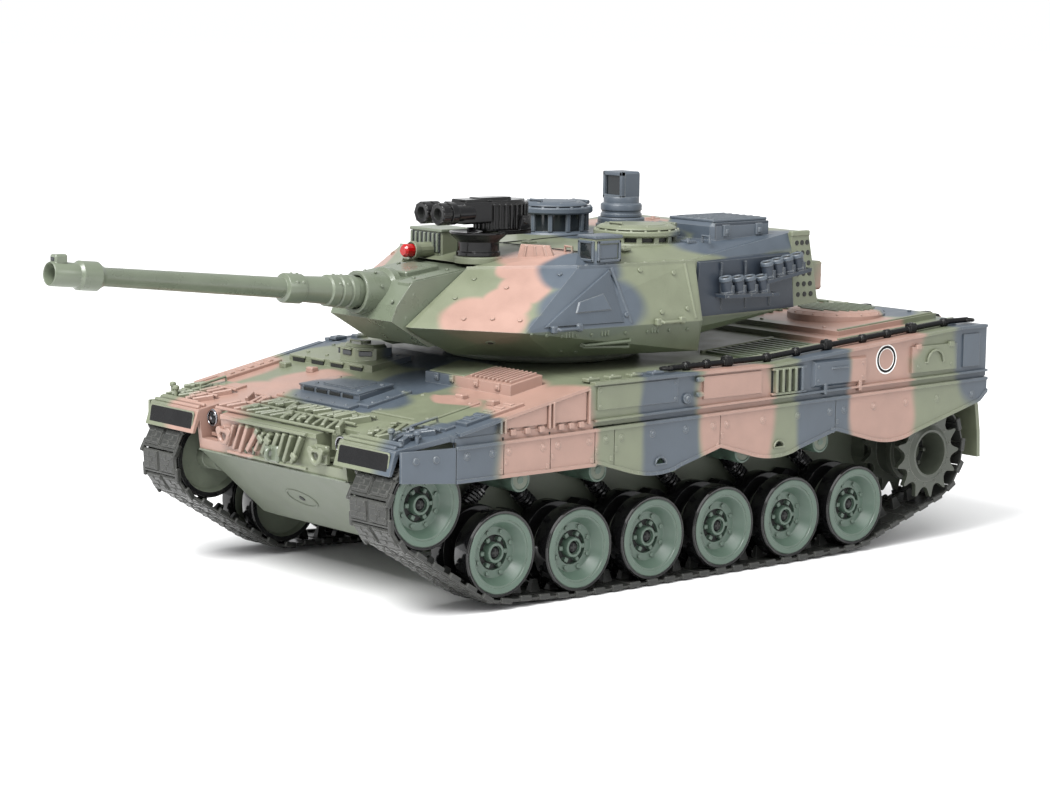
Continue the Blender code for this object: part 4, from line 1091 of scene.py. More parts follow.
def build_driver_station():
    """The driver's hatch with its vision slots, and the stowage box beside it."""
    shape = Shape("camo")
    for i in range(4):
        x = -73 + 13.5 * i
        back = 0.035 * (x + 80)
        # dark boxes: painted shade in the vision slots
        shape.box((x - 4.2, 71.4 + back, 82.6), (x + 4.2, 73.4 + back, 85.2), 0.2, "dark")
        shape.box((x - 5.0, 71.2 + back, 85.2), (x + 5.0, 74.6 + back, 86.4))
    hatch_x, hatch_y = -42, 86
    octagon = [(12 * math.cos(a), 9.4 * math.sin(a)) for a in angles(8, 22.5)]
    shape.hull([(hatch_x + x * share, hatch_y + y * share, z) for share, z in ((1, 92.6), (0.84, 94.2))
                for x, y in octagon])
    for angle in (-90, -135, -45):
        a = math.radians(angle)
        middle = Vector((hatch_x + 12.9 * math.cos(a), hatch_y + 10.1 * math.sin(a), 90.6))
        turn = Matrix.Rotation(a + math.pi / 2, 4, "Z")
        shape.box(middle - Vector((3.0, 0.6, 1.1)), middle + Vector((3.0, 0.4, 1.1)), 0.15, "window", turn)
        shape.box(middle + Vector((-3.4, -1.0, 1.2)), middle + Vector((3.4, 0.6, 2.0)), 0.2, None, turn)
    shape.rod((hatch_x, hatch_y, 93.8), (hatch_x, hatch_y, 95.2), 2.2, 24, bevel=0.3)
    shape.tube([(-46, 80.5, 94.0), (-46, 80.4, 95.4), (-38, 80.4, 95.4), (-38, 80.5, 94.0)], 0.45)
    bolts = [(x, y, 86.2 + (y - 72) * 0.155) for x, y in ((-74, 92), (-74, 78), (-27, 92), (-60, 92),
                                                          (-60, 78))]
    shape.bolts(bolts, (0, -0.15, 1), 0.9, 0.6)
    turn = Matrix.Rotation(math.radians(10.5), 4, "X")
    shape.row(10, (2.8, 0, 0), (42.05, 76.5, 88.2), (42.95, 91, 91.4), turn=turn)
    shape.box((15.2, 76, 88.8), (38.5, 93, 90.6), 0.5, "olive", turn)
    for x in (22, 32, 48, 62):
        shape.box((x - 1.4, 74.2, 85.6), (x + 1.4, 75.4, 88.8))
        shape.box((x - 0.8, 73.7, 86.2), (x + 0.8, 74.6, 87.6), 0.2)
    build_one(shape, "driver_station", "hull")


def build_fan_cover(deck, x, y):
    """A round engine cover with a bolted rim and slats across it."""
    cover = [(0, 104.35), (6, 104.35), (6.4, 104.0), (7.4, 104.0), (7.8, 104.3), (19.6, 104.3), (20.2, 103.9),
             (21.2, 103.7), (22.6, 102.4), (22.8, 94)]
    deck.turned(cover, (x, y, 0), UPWARD, 56)
    for angle in angles(12, 15):
        a, b = polar(21.8, angle)
        deck.bolt((x + a, y + b, 103.0), UPWARD, 0.6)
    for i in range(9):
        away = 4 * (i - 4)
        reach = math.sqrt(17.5 ** 2 - away ** 2)
        deck.box((x - reach, y + away - 0.7, 104.0), (x + reach, y + away + 0.7, 104.95), 0.25, "undercut")


def build_tail(deck, side):
    """Rear lamps, a grille and a towing eye on the tail."""
    x = side * 60
    deck.box((x - 12, 342.4, 84), (x + 12, 344.2, 92), 0.5, "olive")
    for i in range(4):
        lamp_x = x - 8.4 + 5.6 * i
        paint = "window" if i else "red"
        deck.box((lamp_x - 1.2, 343.8, 85.4), (lamp_x + 1.2, 344.6, 90.6), 0.2, paint)
    x = side * 24
    deck.box((x - 14, 342.6, 78), (x + 14, 344.0, 95), 0.6)
    deck.row(7, (0, 0, 2.2), (x - 12, 343.6, 79.6), (x + 12, 344.5, 80.8), 0.3, "undercut")
    x = side * 34
    deck.box((x - 3.4, 342.6, 66), (x + 3.4, 345.2, 74), 0.6, "sage")
    eye = [(x + 2.2 * math.cos(a), 346.0 + 0.4 * math.sin(a), 67.8 + 3.0 * math.sin(a))
           for a in angles(11, 190, 16)]
    deck.tube(eye, 0.7, 8, "sage")


def build_deck_fittings():
    """Grilles, covers and clamps on the rear deck, and small fittings along the deck's edge."""
    deck = Shape("camo")
    turn = Matrix.Rotation(math.atan2(TAIL_Z - DECK_Z, RISE_Y[1] - RISE_Y[0]), 4, "X")
    for side in (-1, 1):
        build_fan_cover(deck, side * 39, 298)
        x = side * 60
        for i in range(11):
            y = 208 + 4.0 * i
            z = deck_height(y)
            deck.box((x - 13, y - 0.9, z - 0.4), (x + 13, y + 0.9, z + 1.1), 0.3, "undercut", turn)
        z = deck_height(228)
        for x in (side * 45.5, side * 74.5):
            deck.box((x - 1, 205.5, z - 0.7), (x + 1, 250.5, z + 1.3), turn=turn)
        x = side * 86.5
        for y in (104, 116, 128, 140):
            deck.box((x - 2.2, y - 3.4, DECK_Z - 0.3), (x + 2.2, y + 3.4, DECK_Z + 1.5), 0.4)
            deck.bolt((x, y, DECK_Z + 1.4), UPWARD, 0.8)
        for x in (side * 64, side * 72):
            deck.rod((x, 330, TAIL_Z + 0.6), (x, 342, TAIL_Z + 0.6), 1.1)
        build_tail(deck, side)
    for y0, y1, half, lift in ((257.4, 332.6, 79.4, 2.3), (265.4, 327.6, 71.4, 4.5)):
        ends = [(y, deck_height(y) + lift - 0.4) for y in (y0, y1)]
        for x in (-half, half):
            deck.hull([(x + a, y, z + b) for y, z in ends for a in (-0.7, 0.7) for b in (-1, 0.9)], "olive")
    for x in (-60, -20, 0, 20, 60):
        deck.bolts([(x, y, deck_height(y) + 4.4) for y in (268.5, 325)], UPWARD, 0.9, 0.6)
    for i in range(9):
        y = 272 + 6.2 * i
        z = deck_height(y)
        deck.box((-11, y - 1.0, z + 4.0), (11, y + 1.0, z + 5.4), 0.35, "undercut", turn)
    deck.rod((-66, 338.5, TAIL_Z + 1.6), (66, 338.5, TAIL_Z + 1.6), 1.3, 14, "black")
    for x in (-58, -20, 20, 58):
        deck.box((x - 2, 336, TAIL_Z - 0.3), (x + 2, 341, TAIL_Z + 3.4), 0.5, "black")
    build_one(deck, "deck_fittings", "hull")


def build_tow_rods():
    """Tow rods with eyes at both ends, held by clamps on the deck."""
    rods = Shape("black")
    x = 84
    rods.tube([(x, 150, DECK_Z + 1.6), (x, RISE_Y[0], DECK_Z + 1.9), (x, RISE_Y[1], TAIL_Z + 1.9),
               (x, 338, TAIL_Z + 1.9)], 1.25, 14)
    for y in (160, 172, 208, 226, 268, 284, 322):
        z = deck_height(y) + 1.8
        rods.rod((x, y - 1.6, z), (x, y + 1.6, z + 0.1), 2.0, 14, bevel=0.5)
    for y in (148.5, 339):
        z = deck_height(y) + 1.7
        rods.tube([(x + 2.2 * math.cos(a), y + 2.4 * math.sin(a), z) for a in angles(13, step=30)], 0.8)
    for y in (184, 245, 300):
        z = deck_height(y)
        rods.box((x - 2, y - 2.5, z + 0.1), (x + 2, y + 2.5, z + 4.4), 0.7)
        rods.bolt((x, y, z + 4.2), UPWARD, 0.9, 0.6)
    build_pair(rods, "towing_rod", "hull", ["tow_rod"])


# ---------------------------------------------------------------- turret

COMMANDER_XY = (-26.0, 179.5)
LOADER_XY = (33.0, 177.0)
SIGHT_XY = (-17.0, 213.0)
ROOF_GUN_XY = (14.0, 103.0)
LAMP_XZ = (-16.0, 136.6)
ROOF_SLOPE = 0.0345
CHEEK_LOW, CHEEK_HIGH = Vector((67, 85, 109)), Vector((60.5, 119, 134))
SIDE_LOW, SIDE_HIGH = Vector((73, 178, 109)), Vector((67, 180, 134))
NOSE_HIGH = Vector((22, 90.5, 131.7))


def on_side(up, along):
    """A point on the turret's flat side: up its rear edge, and along its foot towards the cheek."""
    return SIDE_LOW + (SIDE_HIGH - SIDE_LOW) * up + (CHEEK_LOW - SIDE_LOW) * along


def raised_panel(shape, corners, normal, thickness, inset):
    """A panel with sloping edges on a flat face. Its corners lie on the face."""
    middle = sum(corners, Vector()) / len(corners)
    top = [corner + (middle - corner).normalized() * inset + normal * thickness for corner in corners]
    shape.hull([corner - normal * 0.6 for corner in corners] + corners + top)


def build_turret_side():
    """Panels, rivets, rails and bars on the turret's cheek and side, made for the left."""
    shape = Shape("camo")
    normal = (SIDE_HIGH - SIDE_LOW).cross(CHEEK_LOW - SIDE_LOW).normalized()
    normal = normal if normal.x + normal.z > 0 else -normal
    shell = surface("turret_shell")
    for place in ((28.7, 89, 127.9), (43.4, 94.4, 125.2), (29.4, 78.3, 120.5), (40.4, 74.1, 113.1),
                  (50.4, 81.3, 113.6), (60.5, 87.6, 113.5), (57.0, 112.0, 131.0), (62.6, 134.5, 130.7),
                  (68.9, 138.5, 113.5), (65.3, 167.3, 129.2), (70.1, 157.8, 113.6), (69.5, 172, 114.0),
                  (63.6, 150, 131)):
        shape.bolt(*on_surface(shell, *place), 1.05, 0.75)
    for thickness, inset, shares in ((0.55, 1.0, ((0.94, 0.505), (0.06, 0.44), (0.06, 0.9), (0.30, 0.80))),
                                     (1.1, 0.8, ((0.56, 0.55), (0.28, 0.51), (0.26, 0.72), (0.44, 0.70)))):
        raised_panel(shape, [on_side(*share) for share in shares], normal, thickness, inset)
    for top, foot in (((0.97, 0.49), (0.05, 0.40)), ((0.97, 0.06), (0.05, 0.02))):
        shape.tube([on_side(*top) - normal * 0.35, on_side(*foot) - normal * 0.35], 0.8, 10)
    for y in (106.0, 161.2):
        x = 67.4 + (y - 85) * 6 / 93
        grip = ((-6, 0, 110.3), (-5.2, 1.8, 109.6), (5.2, 1.8, 109.6), (6, 0, 110.3))
        shape.tube([(x + out, y + back, z) for back, out, z in grip], 0.75, 10)
        for start in (-8.4, 5.4):
            shape.box((x - 1.0, y + start, 108.2), (x + 1.2, y + start + 3.0, 111.4), 0.5)
    edge = (CHEEK_HIGH, SIDE_HIGH)
    shape.hull([place + Vector((x, 0, z)) for place in edge for x in (-2.6, 0.35) for z in (-1.6, 0.5)])
    for i in range(6):
        place = edge[0].lerp(edge[1], (i + 0.5) / 6)
        shape.bolt(place + Vector((-1.3, 0, 0.4)), UPWARD, 0.7, 0.45)
    lip = ((-0.7, -0.7), (2.4, 0.6), (-0.2, 0.9), (2.2, -1.0))
    shape.hull([place + Vector((0, y, z)) for place in (NOSE_HIGH, CHEEK_HIGH) for y, z in lip])
    # the fittings below the turret's edge take the undercut's painted shade
    for y in (88, 96, 104, 112, 120, 138, 150, 162, 172):
        if y > 110:
            shape.bolt(*on_surface(shell, 58, y, 99.5), 0.75, 0.55, "undercut")
        shape.bolt(*on_surface(shell, 68, y, 106.5), 0.75, 0.55, "undercut")
    for z in (100.6, 103.4):
        start, end = on_surface(shell, 64, 118, z)[0], on_surface(shell, 68, 141, z)[0]
        shape.tube([start, start + Vector((1.3, 0.8, -0.6)), end + Vector((1.3, -0.8, -0.6)), end], 0.75, 8,
                   "undercut")
    for y in (108, 127, 154):
        for shift in (-1.6, 0, 1.6):
            place = on_surface(shell, 70, y + shift, 106.4)[0]
            shape.box(place - Vector((0.7, 0.45, 1.2)), place + Vector((0.4, 0.45, 1.2)), 0.2, "undercut")
    place, normal = on_surface(shell, 46, 84, 103)
    shape.rod(place - normal * 0.5, place + normal * 0.3, 2.2, 24, "undercut")
    # its dark middle is painted shade in an opening
    shape.rod(place, place + normal * 0.36, 1.4, 20, "dark")
    build_pair(shape, "turret_side_fittings", "turret")


def build_bustle():
    """Stowage panels on the bustle's sides, its perforated rear corners, and the frame of the rear box."""
    shape = Shape("camo")
    panel = [(66.2, 182, 109.6), (66.2, 242, 110.4), (66.9, 184, 111.4), (66.9, 240.6, 112.2),
             (66.0, 184, 133.0),
             (65.0, 240.6, 133.8), (62.0, 182, 134.6), (61.0, 242, 135.6), (60, 184, 110), (58, 240, 111)]
    shape.hull(panel, "slate_dark")
    for y in (196.5, 211.0, 226.0):
        shape.box((66.2, y - 0.5, 112), (67.3, y + 0.5, 132.6), 0.2, "slate_dark")
    corner = ((243.2, 110.5, 64.8), (259.2, 111.5, 64.2), (254.2, 142.9, 62.4), (243.2, 142.9, 62.6))
    shape.hull([(x, y, z) for y, z, outer in corner for x in (outer, outer - 2.4)], "olive")
    # the perforations are dark discs: painted shade in the holes
    for row in range(6):
        for column in range(3):
            y = 246.4 + 4.1 * column - 0.5 * row * (column / 3)
            z = 115.5 + 4.6 * row
            x = 64.7 - (z - 110.5) * 0.066
            shape.rod((x - 0.5, y, z), (x + 0.25, y, z), 1.15, 12, "dark", bevel=0.05)
    shape.box((60.6, 243.0, 141.4), (63.2, 254.6, 143.8), 0.4, "olive")
    build_pair(shape, "bustle_panels", "turret")
    rear = Shape("olive")
    rear.row(8, (12.2, 0, 0), (-32, 267.6, 117), (-30, 269.4, 128.4), 0.35)
    rear.row(3, (0, 0, 5.2), (-33, 267.8, 116.8), (57, 269.0, 118.0))
    for x in (-50, -44, 44, 50):
        rear.box((x - 1.2, 253.5, 115), (x + 1.2, 257.2, 139), 0.4)
    rear.row(9, (10, 0, 0), (-43.4, 254.6, 132), (-36.6, 257.0, 141), 0.6)
    build_one(rear, "rear_rack", "turret")


def build_smoke_tubes():
    """Smoke discharger racks: two shelves of short tubes with caps and clips."""
    rack = Shape("slate_dark")
    tilt = math.radians(14)
    lean = Vector((0, -math.sin(tilt), math.cos(tilt)))
    for inner, (y0, z0), (y1, z1) in ((66.2, (193, 117.6), (226, 116.8)), (65.6, (219, 122.4), (246, 126.6))):
        rack.hull([(x, y, z + rise) for x in (inner, 73) for y, z in ((y0, z0), (y1, z1)) for rise in (0,
                                                                                                       1.6)])
    rack.box((66.2, 219.5, 117), (68.4, 223, 123.4), 0.4)
    profile = [(0, 8.0), (1.9, 8.0), (2.1, 8.4), (2.6, 8.5), (2.9, 8.1), (2.95, 6.8), (2.7, 6.5), (2.7, 2.2),
               (3.1, 1.9), (3.1, 0)]
    # the dark disc at the top is painted shade in each tube's recessed mouth
    paints = ["dark"] + ["slate"] * 4 + ["slate_dark"] * 4
    for i in range(4):
        for place in (Vector((69.6, 198 + 7.2 * i, 118.4 - 0.17 * i)),
                      Vector((69.6, 223 + 6.2 * i, 123.8 + 0.9 * i))):
            rack.turned(profile, place, lean, 20, paints)
            rack.box(place + Vector((2.2, -0.7, 1)), place + Vector((3.3, 0.7, 4.6)), 0.2)
    rack.bolts([(73, y, 118) for y in (195, 209, 222)], OUTWARD, 0.5, 0.3)
    build_pair(rack, "smoke_dischargers", "turret", ["smoke_rack"])


def ring_of_posts(shape, centre, radius, count, low, high, width, depth, material=None):
    """Small blocks standing in a ring, turned to face outwards."""
    for angle in angles(count, 180 / count):
        a, b = polar(radius, angle)
        middle = (centre[0] + a, centre[1] + b, (low + high) / 2)
        shape.block(middle, (width, depth, (high - low) / 2), 0.25, material, Matrix.Rotation(angle, 4, "Z"))


def build_cupolas():
    """Seats of the two roof hatches, the panorama sight and the roof gun, with vision blocks and bolts."""
    shape = Shape("camo")
    seat = [(13, 151.95), (17.6, 151.9), (18.0, 151.4), (18.0, 149.6), (17.4, 149.0), (15.2, 148.8),
            (15.0, 141.2), (16.6, 140.6), (17.4, 139.4)]
    shape.turned(seat, (*COMMANDER_XY, 0), UPWARD, 64, ["slate"] * 5 + ["window"] + ["slate"] * 2)
    ring_of_posts(shape, COMMANDER_XY, 15.4, 12, 141.0, 149.0, 0.9, 1.0, "slate")
    ring_of_posts(shape, COMMANDER_XY, 16.9, 16, 151.6, 152.4, 0.6, 0.6, "slate")
    seat = [(13, 145.85), (18.6, 145.8), (19.0, 145.3), (19.0, 143.8), (18.4, 143.2), (16.2, 143.0),
            (16.0, 141.0), (18.6, 140.4), (19.0, 139.0)]
    # the dark band is painted shade in the gap between the seat's flanges
    shape.turned(seat, (*LOADER_XY, 0), UPWARD, 64, ["camo"] * 5 + ["dark"] + ["camo"] * 2)
    ring_of_posts(shape, LOADER_XY, 17.0, 14, 140.4, 143.4, 0.8, 1.2)
    ring_of_posts(shape, LOADER_XY, 18.0, 18, 145.5, 146.3, 0.55, 0.55)
    seat = [(9.6, 146.15), (10.4, 146.1), (10.8, 145.6), (10.8, 143.4), (11.6, 142.8), (11.6, 139)]
    shape.turned(seat, (*SIGHT_XY, 0), UPWARD, 48, ["slate"] * 5)
    shape.turned([(9.3, 136.1), (10.2, 136.05), (10.6, 135.6), (10.6, 133.2)], (*ROOF_GUN_XY, 0), UPWARD, 48)
    build_one(shape, "hatch_seats", "turret")


def build_hatch(name, centre, radius, top, key):
    """A hatch lid, domed and handled, with its hinge at the back."""
    lid = Shape(key)
    x, y = centre
    low = top - 2.3
    profile = [(0, top), (radius - 8, top - 0.1), (radius - 5.2, top - 0.3), (radius - 4.8, top - 0.7),
               (radius - 4.0, top - 0.7), (radius - 3.6, top - 0.4), (radius - 1.4, top - 0.9),
               (radius - 0.3, top - 1.5), (radius, low + 0.3), (radius - 0.3, low), (0, low)]
    lid.turned(profile, (x, y, 0), UPWARD, 64)
    hinge_y = y + radius + 1
    lid.box((x - 4, hinge_y - 4, low + 0.1), (x + 4, hinge_y + 1, low + 1.9), 0.5)
    for side in (-1, 1):
        lid.rod((x + side * 4.0, hinge_y, low + 1.0), (x + side * 5.4, hinge_y, low + 1.0), 1.0)
    grip_y = y - radius + 5.3
    lid.tube([(x - 4, grip_y + 0.2, top - 1.0), (x - 4, grip_y, top + 0.3), (x + 4, grip_y, top + 0.3),
              (x + 4, grip_y + 0.2, top - 1.0)], 0.5)
    for angle in angles(8, 20):
        a, b = polar(radius - 2.4, angle)
        lid.bolt((x + a, y + b, top - 0.8), UPWARD, 0.6, 0.4)
    build_one(lid, f"{name}_lid", f"{name}_hatch", [f"{name}_hatch"])


def build_side_sight(roof):
    """The sight box on the roof's left edge: a hood, a framed window at the front and a framed side."""
    roof.box((49.7, 127.6, 145.2), (61.4, 143.4, 146.6), 0.5, "slate")
    roof.row(2, (0, 0, 7.7), (50.8, 127.2, 135.6), (60.2, 128.4, 136.8), 0.2, "slate")
    roof.row(2, (8.6, 0, 0), (50.6, 127.2, 135.8), (51.8, 128.4, 144.4), 0.2, "slate")
    roof.box((51.6, 127.7, 136.6), (59.4, 128.1, 143.4), 0.1, "window")
    roof.row(2, (0, 0, 7.8), (60.8, 129, 135.4), (61.9, 142, 136.6), 0.25, "slate")
    roof.row(2, (0, 11.8, 0), (60.8, 129, 135.4), (61.9, 130.2, 144.4), 0.25, "slate")
    roof.box((60.9, 130.6, 137), (61.25, 140.4, 142.8), 0.1, "slate")


def build_fin(roof):
    """A short ribbed fin, pink like the patch round it."""
    low = ((-8, -3.4), (8, 4.6), (7, 6.4), (-9, -1.6))
    high = ((-6.4, -2.4), (5.2, 3.6), (4.6, 4.6), (-7, -1.4))
    roof.hull([(36 + a, 116 + b, z) for outline, z in ((low, 134.6), (high, 141.6)) for a, b in outline],
              "pink")
    for share in (0.2, 0.5, 0.8):
        foot = Vector((28, 112.6, 134.8)).lerp(Vector((44, 120.6, 134.8)), share)
        top = Vector((29.6, 113.4, 141)).lerp(Vector((41.2, 119.6, 141)), share)
        roof.tube([foot, top], 0.6, 6, "pink")


def build_roof():
    """Sights, the stowage box, the fin, seams and small fittings on the turret's roof."""
    roof = Shape("camo")
    roof.box((25.4, 203.4, 148.6), (53.6, 236.6, 149.8), 0.5, "slate")
    roof.box((54.4, 203.6, 141.6), (54.9, 236.4, 148.4), 0.1, "slate_dark")
    roof.row(6, (4.4, 0, 0), (27.8, 205.5, 149.3), (29.4, 234.5, 150.2), 0.3, "slate")
    for y in (210, 230):
        roof.box((54.6, y - 2, 142.4), (55.8, y + 2, 147.6), 0.4, "slate")
        roof.box((54.9, y - 0.9, 143.4), (56.4, y + 0.9, 145.6), 0.3, "slate")
    build_side_sight(roof)
    roof.box((-30.6, 100.6, 144.2), (-8.4, 118.6, 145.6), 0.5, "sage")
    roof.row(7, (2.95, 0, 0), (-28.95, 99.8, 135.6), (-27.85, 101.4, 143.8), 0.2, "sage")
    roof.box((-29.6, 100.5, 135.4), (-9.4, 101.1, 144), 0.1, "window")
    build_fin(roof)
    for seam in (((-48, 130, 139.0), (48, 130, 139.0)), ((-60, 200, 140.6), (22, 200, 140.6)),
                 ((-4, 132, 138.9), (-4, 196, 140.9))):
        roof.tube(seam, 0.3, 4, "dark")
    for x, y in ((-48, 140), (-48, 160), (52, 152), (52, 190), (-50, 205), (-50, 235), (0, 210), (6, 240),
                 (-30, 245), (4, 140)):
        z = 138.6 + (y - 128) * ROOF_SLOPE
        roof.box((x - 2.6, y - 2.6, z - 0.8), (x + 2.6, y + 2.6, z + 0.9), 0.5)
        roof.bolt((x, y, z + 0.8), UPWARD, 1.1, 0.7)
    for x, y in ((-44, 126), (44, 128), (-56, 188), (57, 196)):
        z = 138.4 + (y - 128) * ROOF_SLOPE
        roof.tube([(x - 2.4, y, z - 0.6), (x - 2.2, y, z + 2.6), (x + 2.2, y, z + 2.6),
                   (x + 2.4, y, z - 0.6)], 0.6)
    roof.turned([(3.4, 11.2), (3.4, 11.8), (3.9, 11.6), (3.9, 9.6), (3.4, 9.4)],
                (LAMP_XZ[0], 102, LAMP_XZ[1]),
                FORWARD, 28, ["olive"] * 4)
    build_one(roof, "roof_fittings", "turret")


def build_sight():
    """The panorama sight: a stepped ring and a box with a recessed window."""
    x, y = SIGHT_XY
    sight = Shape("slate")
    base = [(0, 155.4), (8.0, 155.4), (8.2, 155.0), (8.2, 152.6), (9.2, 152.2), (9.5, 151.6), (9.5, 149.4),
            (9.0, 149.0), (9.0, 148.0), (9.5, 147.6), (9.5, 146.4), (0, 146.4)]
    sight.turned(base, (x, y, 0), UPWARD, 48)
    low, high = Vector((x - 7, y - 5.5, 154.5)), Vector((x + 6, y + 6.5, 166.9))
    frame_y = low.y + 2.4
    sight.box((low.x, low.y + 1.6, low.z), high, 0.9)
    for start, end in (((low.x, low.y, high.z - 2), (high.x, frame_y, high.z)),
                       ((low.x, low.y, low.z), (high.x, frame_y, low.z + 1.8)),
                       ((low.x, low.y, low.z), (low.x + 1.6, frame_y, high.z)),
                       ((high.x - 1.6, low.y, low.z), (high.x, frame_y, high.z))):
        sight.box(start, end, 0.35)
    sight.box((low.x + 1.4, low.y + 1.2, low.z + 1.6), (high.x - 1.4, low.y + 1.75, high.z - 1.8), 0.1,
              "window")
    build_one(sight, "panorama_head", "panorama_sight", ["panorama_sight"])


# ---------------------------------------------------------------- guns

TRUNNION_YZ = (95.0, 117.3)
MUZZLE_Y = -99.8
GUN_TILT = math.radians(6.02)
GUN_FORWARD = Vector((0, -math.cos(GUN_TILT), math.sin(GUN_TILT)))
GUN_UP = Vector((0, math.sin(GUN_TILT), math.cos(GUN_TILT)))


def gun_axis(y):
    return Vector((0, y, TRUNNION_YZ[1] - (y - TRUNNION_YZ[0]) * math.tan(GUN_TILT)))


def gun_bolts(shape, y, radius, bearings, size):
    """Bolts standing out round the gun's axis."""
    for angle in bearings:
        out = Vector((math.cos(angle), 0, 0)) + GUN_UP * math.sin(angle)
        shape.bolt(gun_axis(y) + out * radius, out, size)


def build_barrel():
    """The gun tube with its muzzle, bore, bolted sleeves and muzzle sight."""
    barrel = Shape("sage")
    bore = [(0, -50), (2.9, -50), (2.9, -18), (4.0, -17), (4.1, -1.0), (4.4, -0.4)]
    stations = [(MUZZLE_Y + 0.5, 4.6), (MUZZLE_Y + 1.1, 4.9), (-87.6, 4.9), (-87.0, 5.4), (-86.4, 5.9),
                (-78.4, 5.9), (-77.8, 5.4), (-75, 3.8), (10.3, 4.35), (10.9, 6.0), (11.4, 6.2), (19.2, 6.2),
                (19.8, 5.4), (32.3, 5.8), (32.8, 6.6), (36.6, 6.8), (37, 6.3), (37.6, 6.3), (38, 6.9), (41.4,
                                                                                                        7.0),
                (41.8, 6.4), (42.4, 6.4), (42.8, 7.1), (45.6, 7.1), (46.2, 6.4), (88, 6.4), (88, 0)]
    profile = bore + [(radius, (MUZZLE_Y - y) / math.cos(GUN_TILT)) for y, radius in stations]
    # the dark bore is painted shade inside the muzzle
    barrel.turned(profile, gun_axis(MUZZLE_Y), GUN_FORWARD, 48, ["dark"] * 3 + ["sage"] * 29)
    sight = gun_axis(-95.5) + GUN_UP * 5.6
    barrel.box(sight - Vector((2.3, 2.8, 1.6)), sight + Vector((2.3, 2.8, 2.2)), 0.6)
    barrel.box(sight - Vector((1.3, 3.1, 0.2)), sight + Vector((1.3, -2.6, 1.2)), 0.2, "window")
    for y in (14.5, 17.5, 36, 40):
        gun_bolts(barrel, y, 6.1 if y < 30 else 6.7, angles(3, 30, 60), 0.6)
    build_one(barrel, "gun_tube", "gun", ["gun_barrel"])


def build_mantlet():
    """The mantlet's collar, cheek plates and rivets."""
    mantlet = Shape("sage")
    collar = [(6.9, 13.2), (7.3, 13.9), (8.6, 14.2), (9.1, 13.6), (9.4, 6.0), (9.6, 1.2), (11.2, 0.2),
              (11.4, -3)]
    mantlet.turned(collar, gun_axis(62), GUN_FORWARD, 48)
    gun_bolts(mantlet, 55, 9.8, angles(8, 22), 0.7)
    cheek = ((60.6, 127.0), (64.6, 128.2), (88, 131.4), (60.6, 124), (88, 128))
    for side in (-1, 1):
        mantlet.hull([(side * x, y, z) for x in (13.0, 20.4) for y, z in cheek])
        mantlet.bolts([(side * 16.7, y, z) for y, z in ((66, 128.6), (84, 131.1))], (0, -0.13, 1), 0.9, 0.6)
        rivets = [(side * 21.0, y, z) for y, z in ((59, 112.5), (66, 104), (63, 122))]
        mantlet.bolts(rivets, (side, 0, 0), 0.8, 0.2)
        mantlet.bolt((side * 17.5, 54.2, 119.5), (0, -0.9, 0.4), 0.9, 0.6)
        mantlet.bolt((side * 17.5, 57.5, 108.4), (0, -0.85, -0.5), 0.9, 0.6)
    mantlet.box((-9, 68, 128.4), (9, 86, 131.6), 0.6, None, Matrix.Rotation(math.radians(7.2), 4, "X"))
    build_one(mantlet, "mantlet_fittings", "gun")


def build_gun_mount():
    """The roof gun's bowl-shaped mount, which turns, with an ear on each side."""
    x, y = ROOF_GUN_XY
    mount = Shape("gloss")
    stand = [(0, 145.6), (8.5, 145.6), (11.2, 146.2), (11.8, 146.5), (12.4, 146.3), (12.4, 145.7),
             (11.6, 144.6),
             (9.6, 143.0), (9.0, 142.2), (9.0, 138.2), (9.5, 137.8), (9.5, 136.4), (0, 136.4)]
    mount.turned(stand, (x, y, 0), UPWARD, 56)
    ear = ((y + 13.8, 146.8), (y + 20, 146.8), (y + 18.8, 153.2), (y + 15.2, 153.2))
    for side in (-1, 1):
        xs = sorted((x + side * 9.9, x + side * 11.2))
        mount.hull([(a, b, c) for a in xs for b in (y + 3, y + 20) for c in (145.4, 147.2)])
        mount.hull([(a, b, c) for a in xs for b, c in ear])
        mount.rod((x + side * 11.0, y + 17, 151), (x + side * 11.9, y + 17, 151), 1.5, 18, bevel=0.3)
    build_one(mount, "roof_gun_mount_ring", "roof_gun_mount", ["roof_gun_pedestal"])


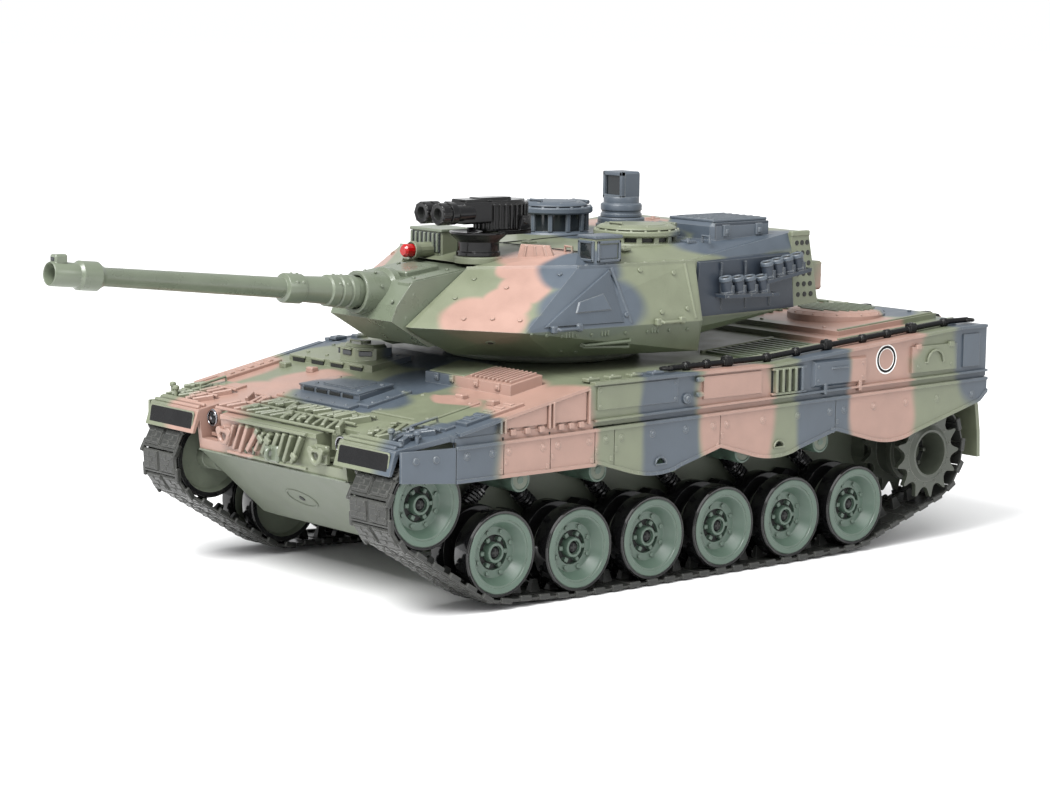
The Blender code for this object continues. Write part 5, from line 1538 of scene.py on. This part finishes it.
def build_roof_gun():
    """The roof gun: a ribbed oval drum with a receiver and two barrels with lugged muzzle brakes."""
    x, y = ROOF_GUN_XY
    guns = Shape("gloss")
    middle_y, half_x, half_y = y + 12.4, 9.2, 13.2
    for low, high, size in ((146.7, 148.0, 0.9), (148.0, 157.6, 0.9), (157.6, 158.8, 0.99),
                            (158.8, 159.8, 0.86)):
        guns.hull([(x + half_x * size * math.cos(a), middle_y + half_y * size * math.sin(a), z)
                   for a in angles(36) for z in (low, high)])
    for a in angles(28, 180 / 28):
        rib = Vector((x + half_x * 0.93 * math.cos(a), middle_y + half_y * 0.93 * math.sin(a), 152.8))
        turn = Matrix.Rotation(math.atan2(half_x * math.sin(a), half_y * math.cos(a)), 4, "Z")
        guns.block(rib, (0.9, 0.5, 5.4), turn=turn)
    guns.box((x - 7.6, y - 14, 150.2), (x + 7.6, y + 2, 159.2), 0.9)
    guns.box((x - 5.0, y - 11, 158.6), (x + 5.0, y - 1, 160.4), 0.8)
    guns.box((x - 4.6, y - 2, 158.6), (x + 3.4, y + 15.6, 160.8), 0.6)
    brake = [(0, 9.4), (2.3, 9.4), (2.6, 12.2), (4.2, 12.4), (4.7, 11.8), (4.7, 8.6), (3.9, 8.2), (3.9, 7.4),
             (4.7, 7.0), (4.7, 3.8), (4.0, 3.2), (3.4, 2.4), (3.4, -6), (0, -6)]
    for side in (-1, 1):
        barrel_x = x + side * 5.6
        # the dark front and bore are painted shade inside the muzzle brake
        guns.turned(brake, (barrel_x, y - 14.5, 155), FORWARD, 32, ["dark"] * 2 + ["gloss"] * 11)
        for angle in angles(8):
            a, b = polar(4.2, angle)
            guns.block((barrel_x + a, y - 24.5, 155 + b), (0.5, 2.4, 0.7), 0.25, None,
                       Matrix.Rotation(-angle, 4, "Y"))
    guns.rod((x, y + 22.4, 154), (x, y + 24.4, 154), 2.4, 18)
    build_one(guns, "roof_gun_barrels", "roof_gun_pair", ["roof_gun_pair"])


build_wheels()
build_tracks()
build_springs()
build_skirts()
build_side_fittings()
build_front()
build_headlights()
build_glacis()
build_driver_station()
build_deck_fittings()
build_tow_rods()
build_turret_side()
build_bustle()
build_smoke_tubes()
build_cupolas()
build_hatch("commander", COMMANDER_XY, 15.5, 154.5, "slate")
build_hatch("loader", LOADER_XY, 17.5, 148.4, "camo")
build_roof()
build_sight()
build_barrel()
build_mantlet()
build_gun_mount()
build_roof_gun()
paint_nodes()
build_studio()
build_camera()
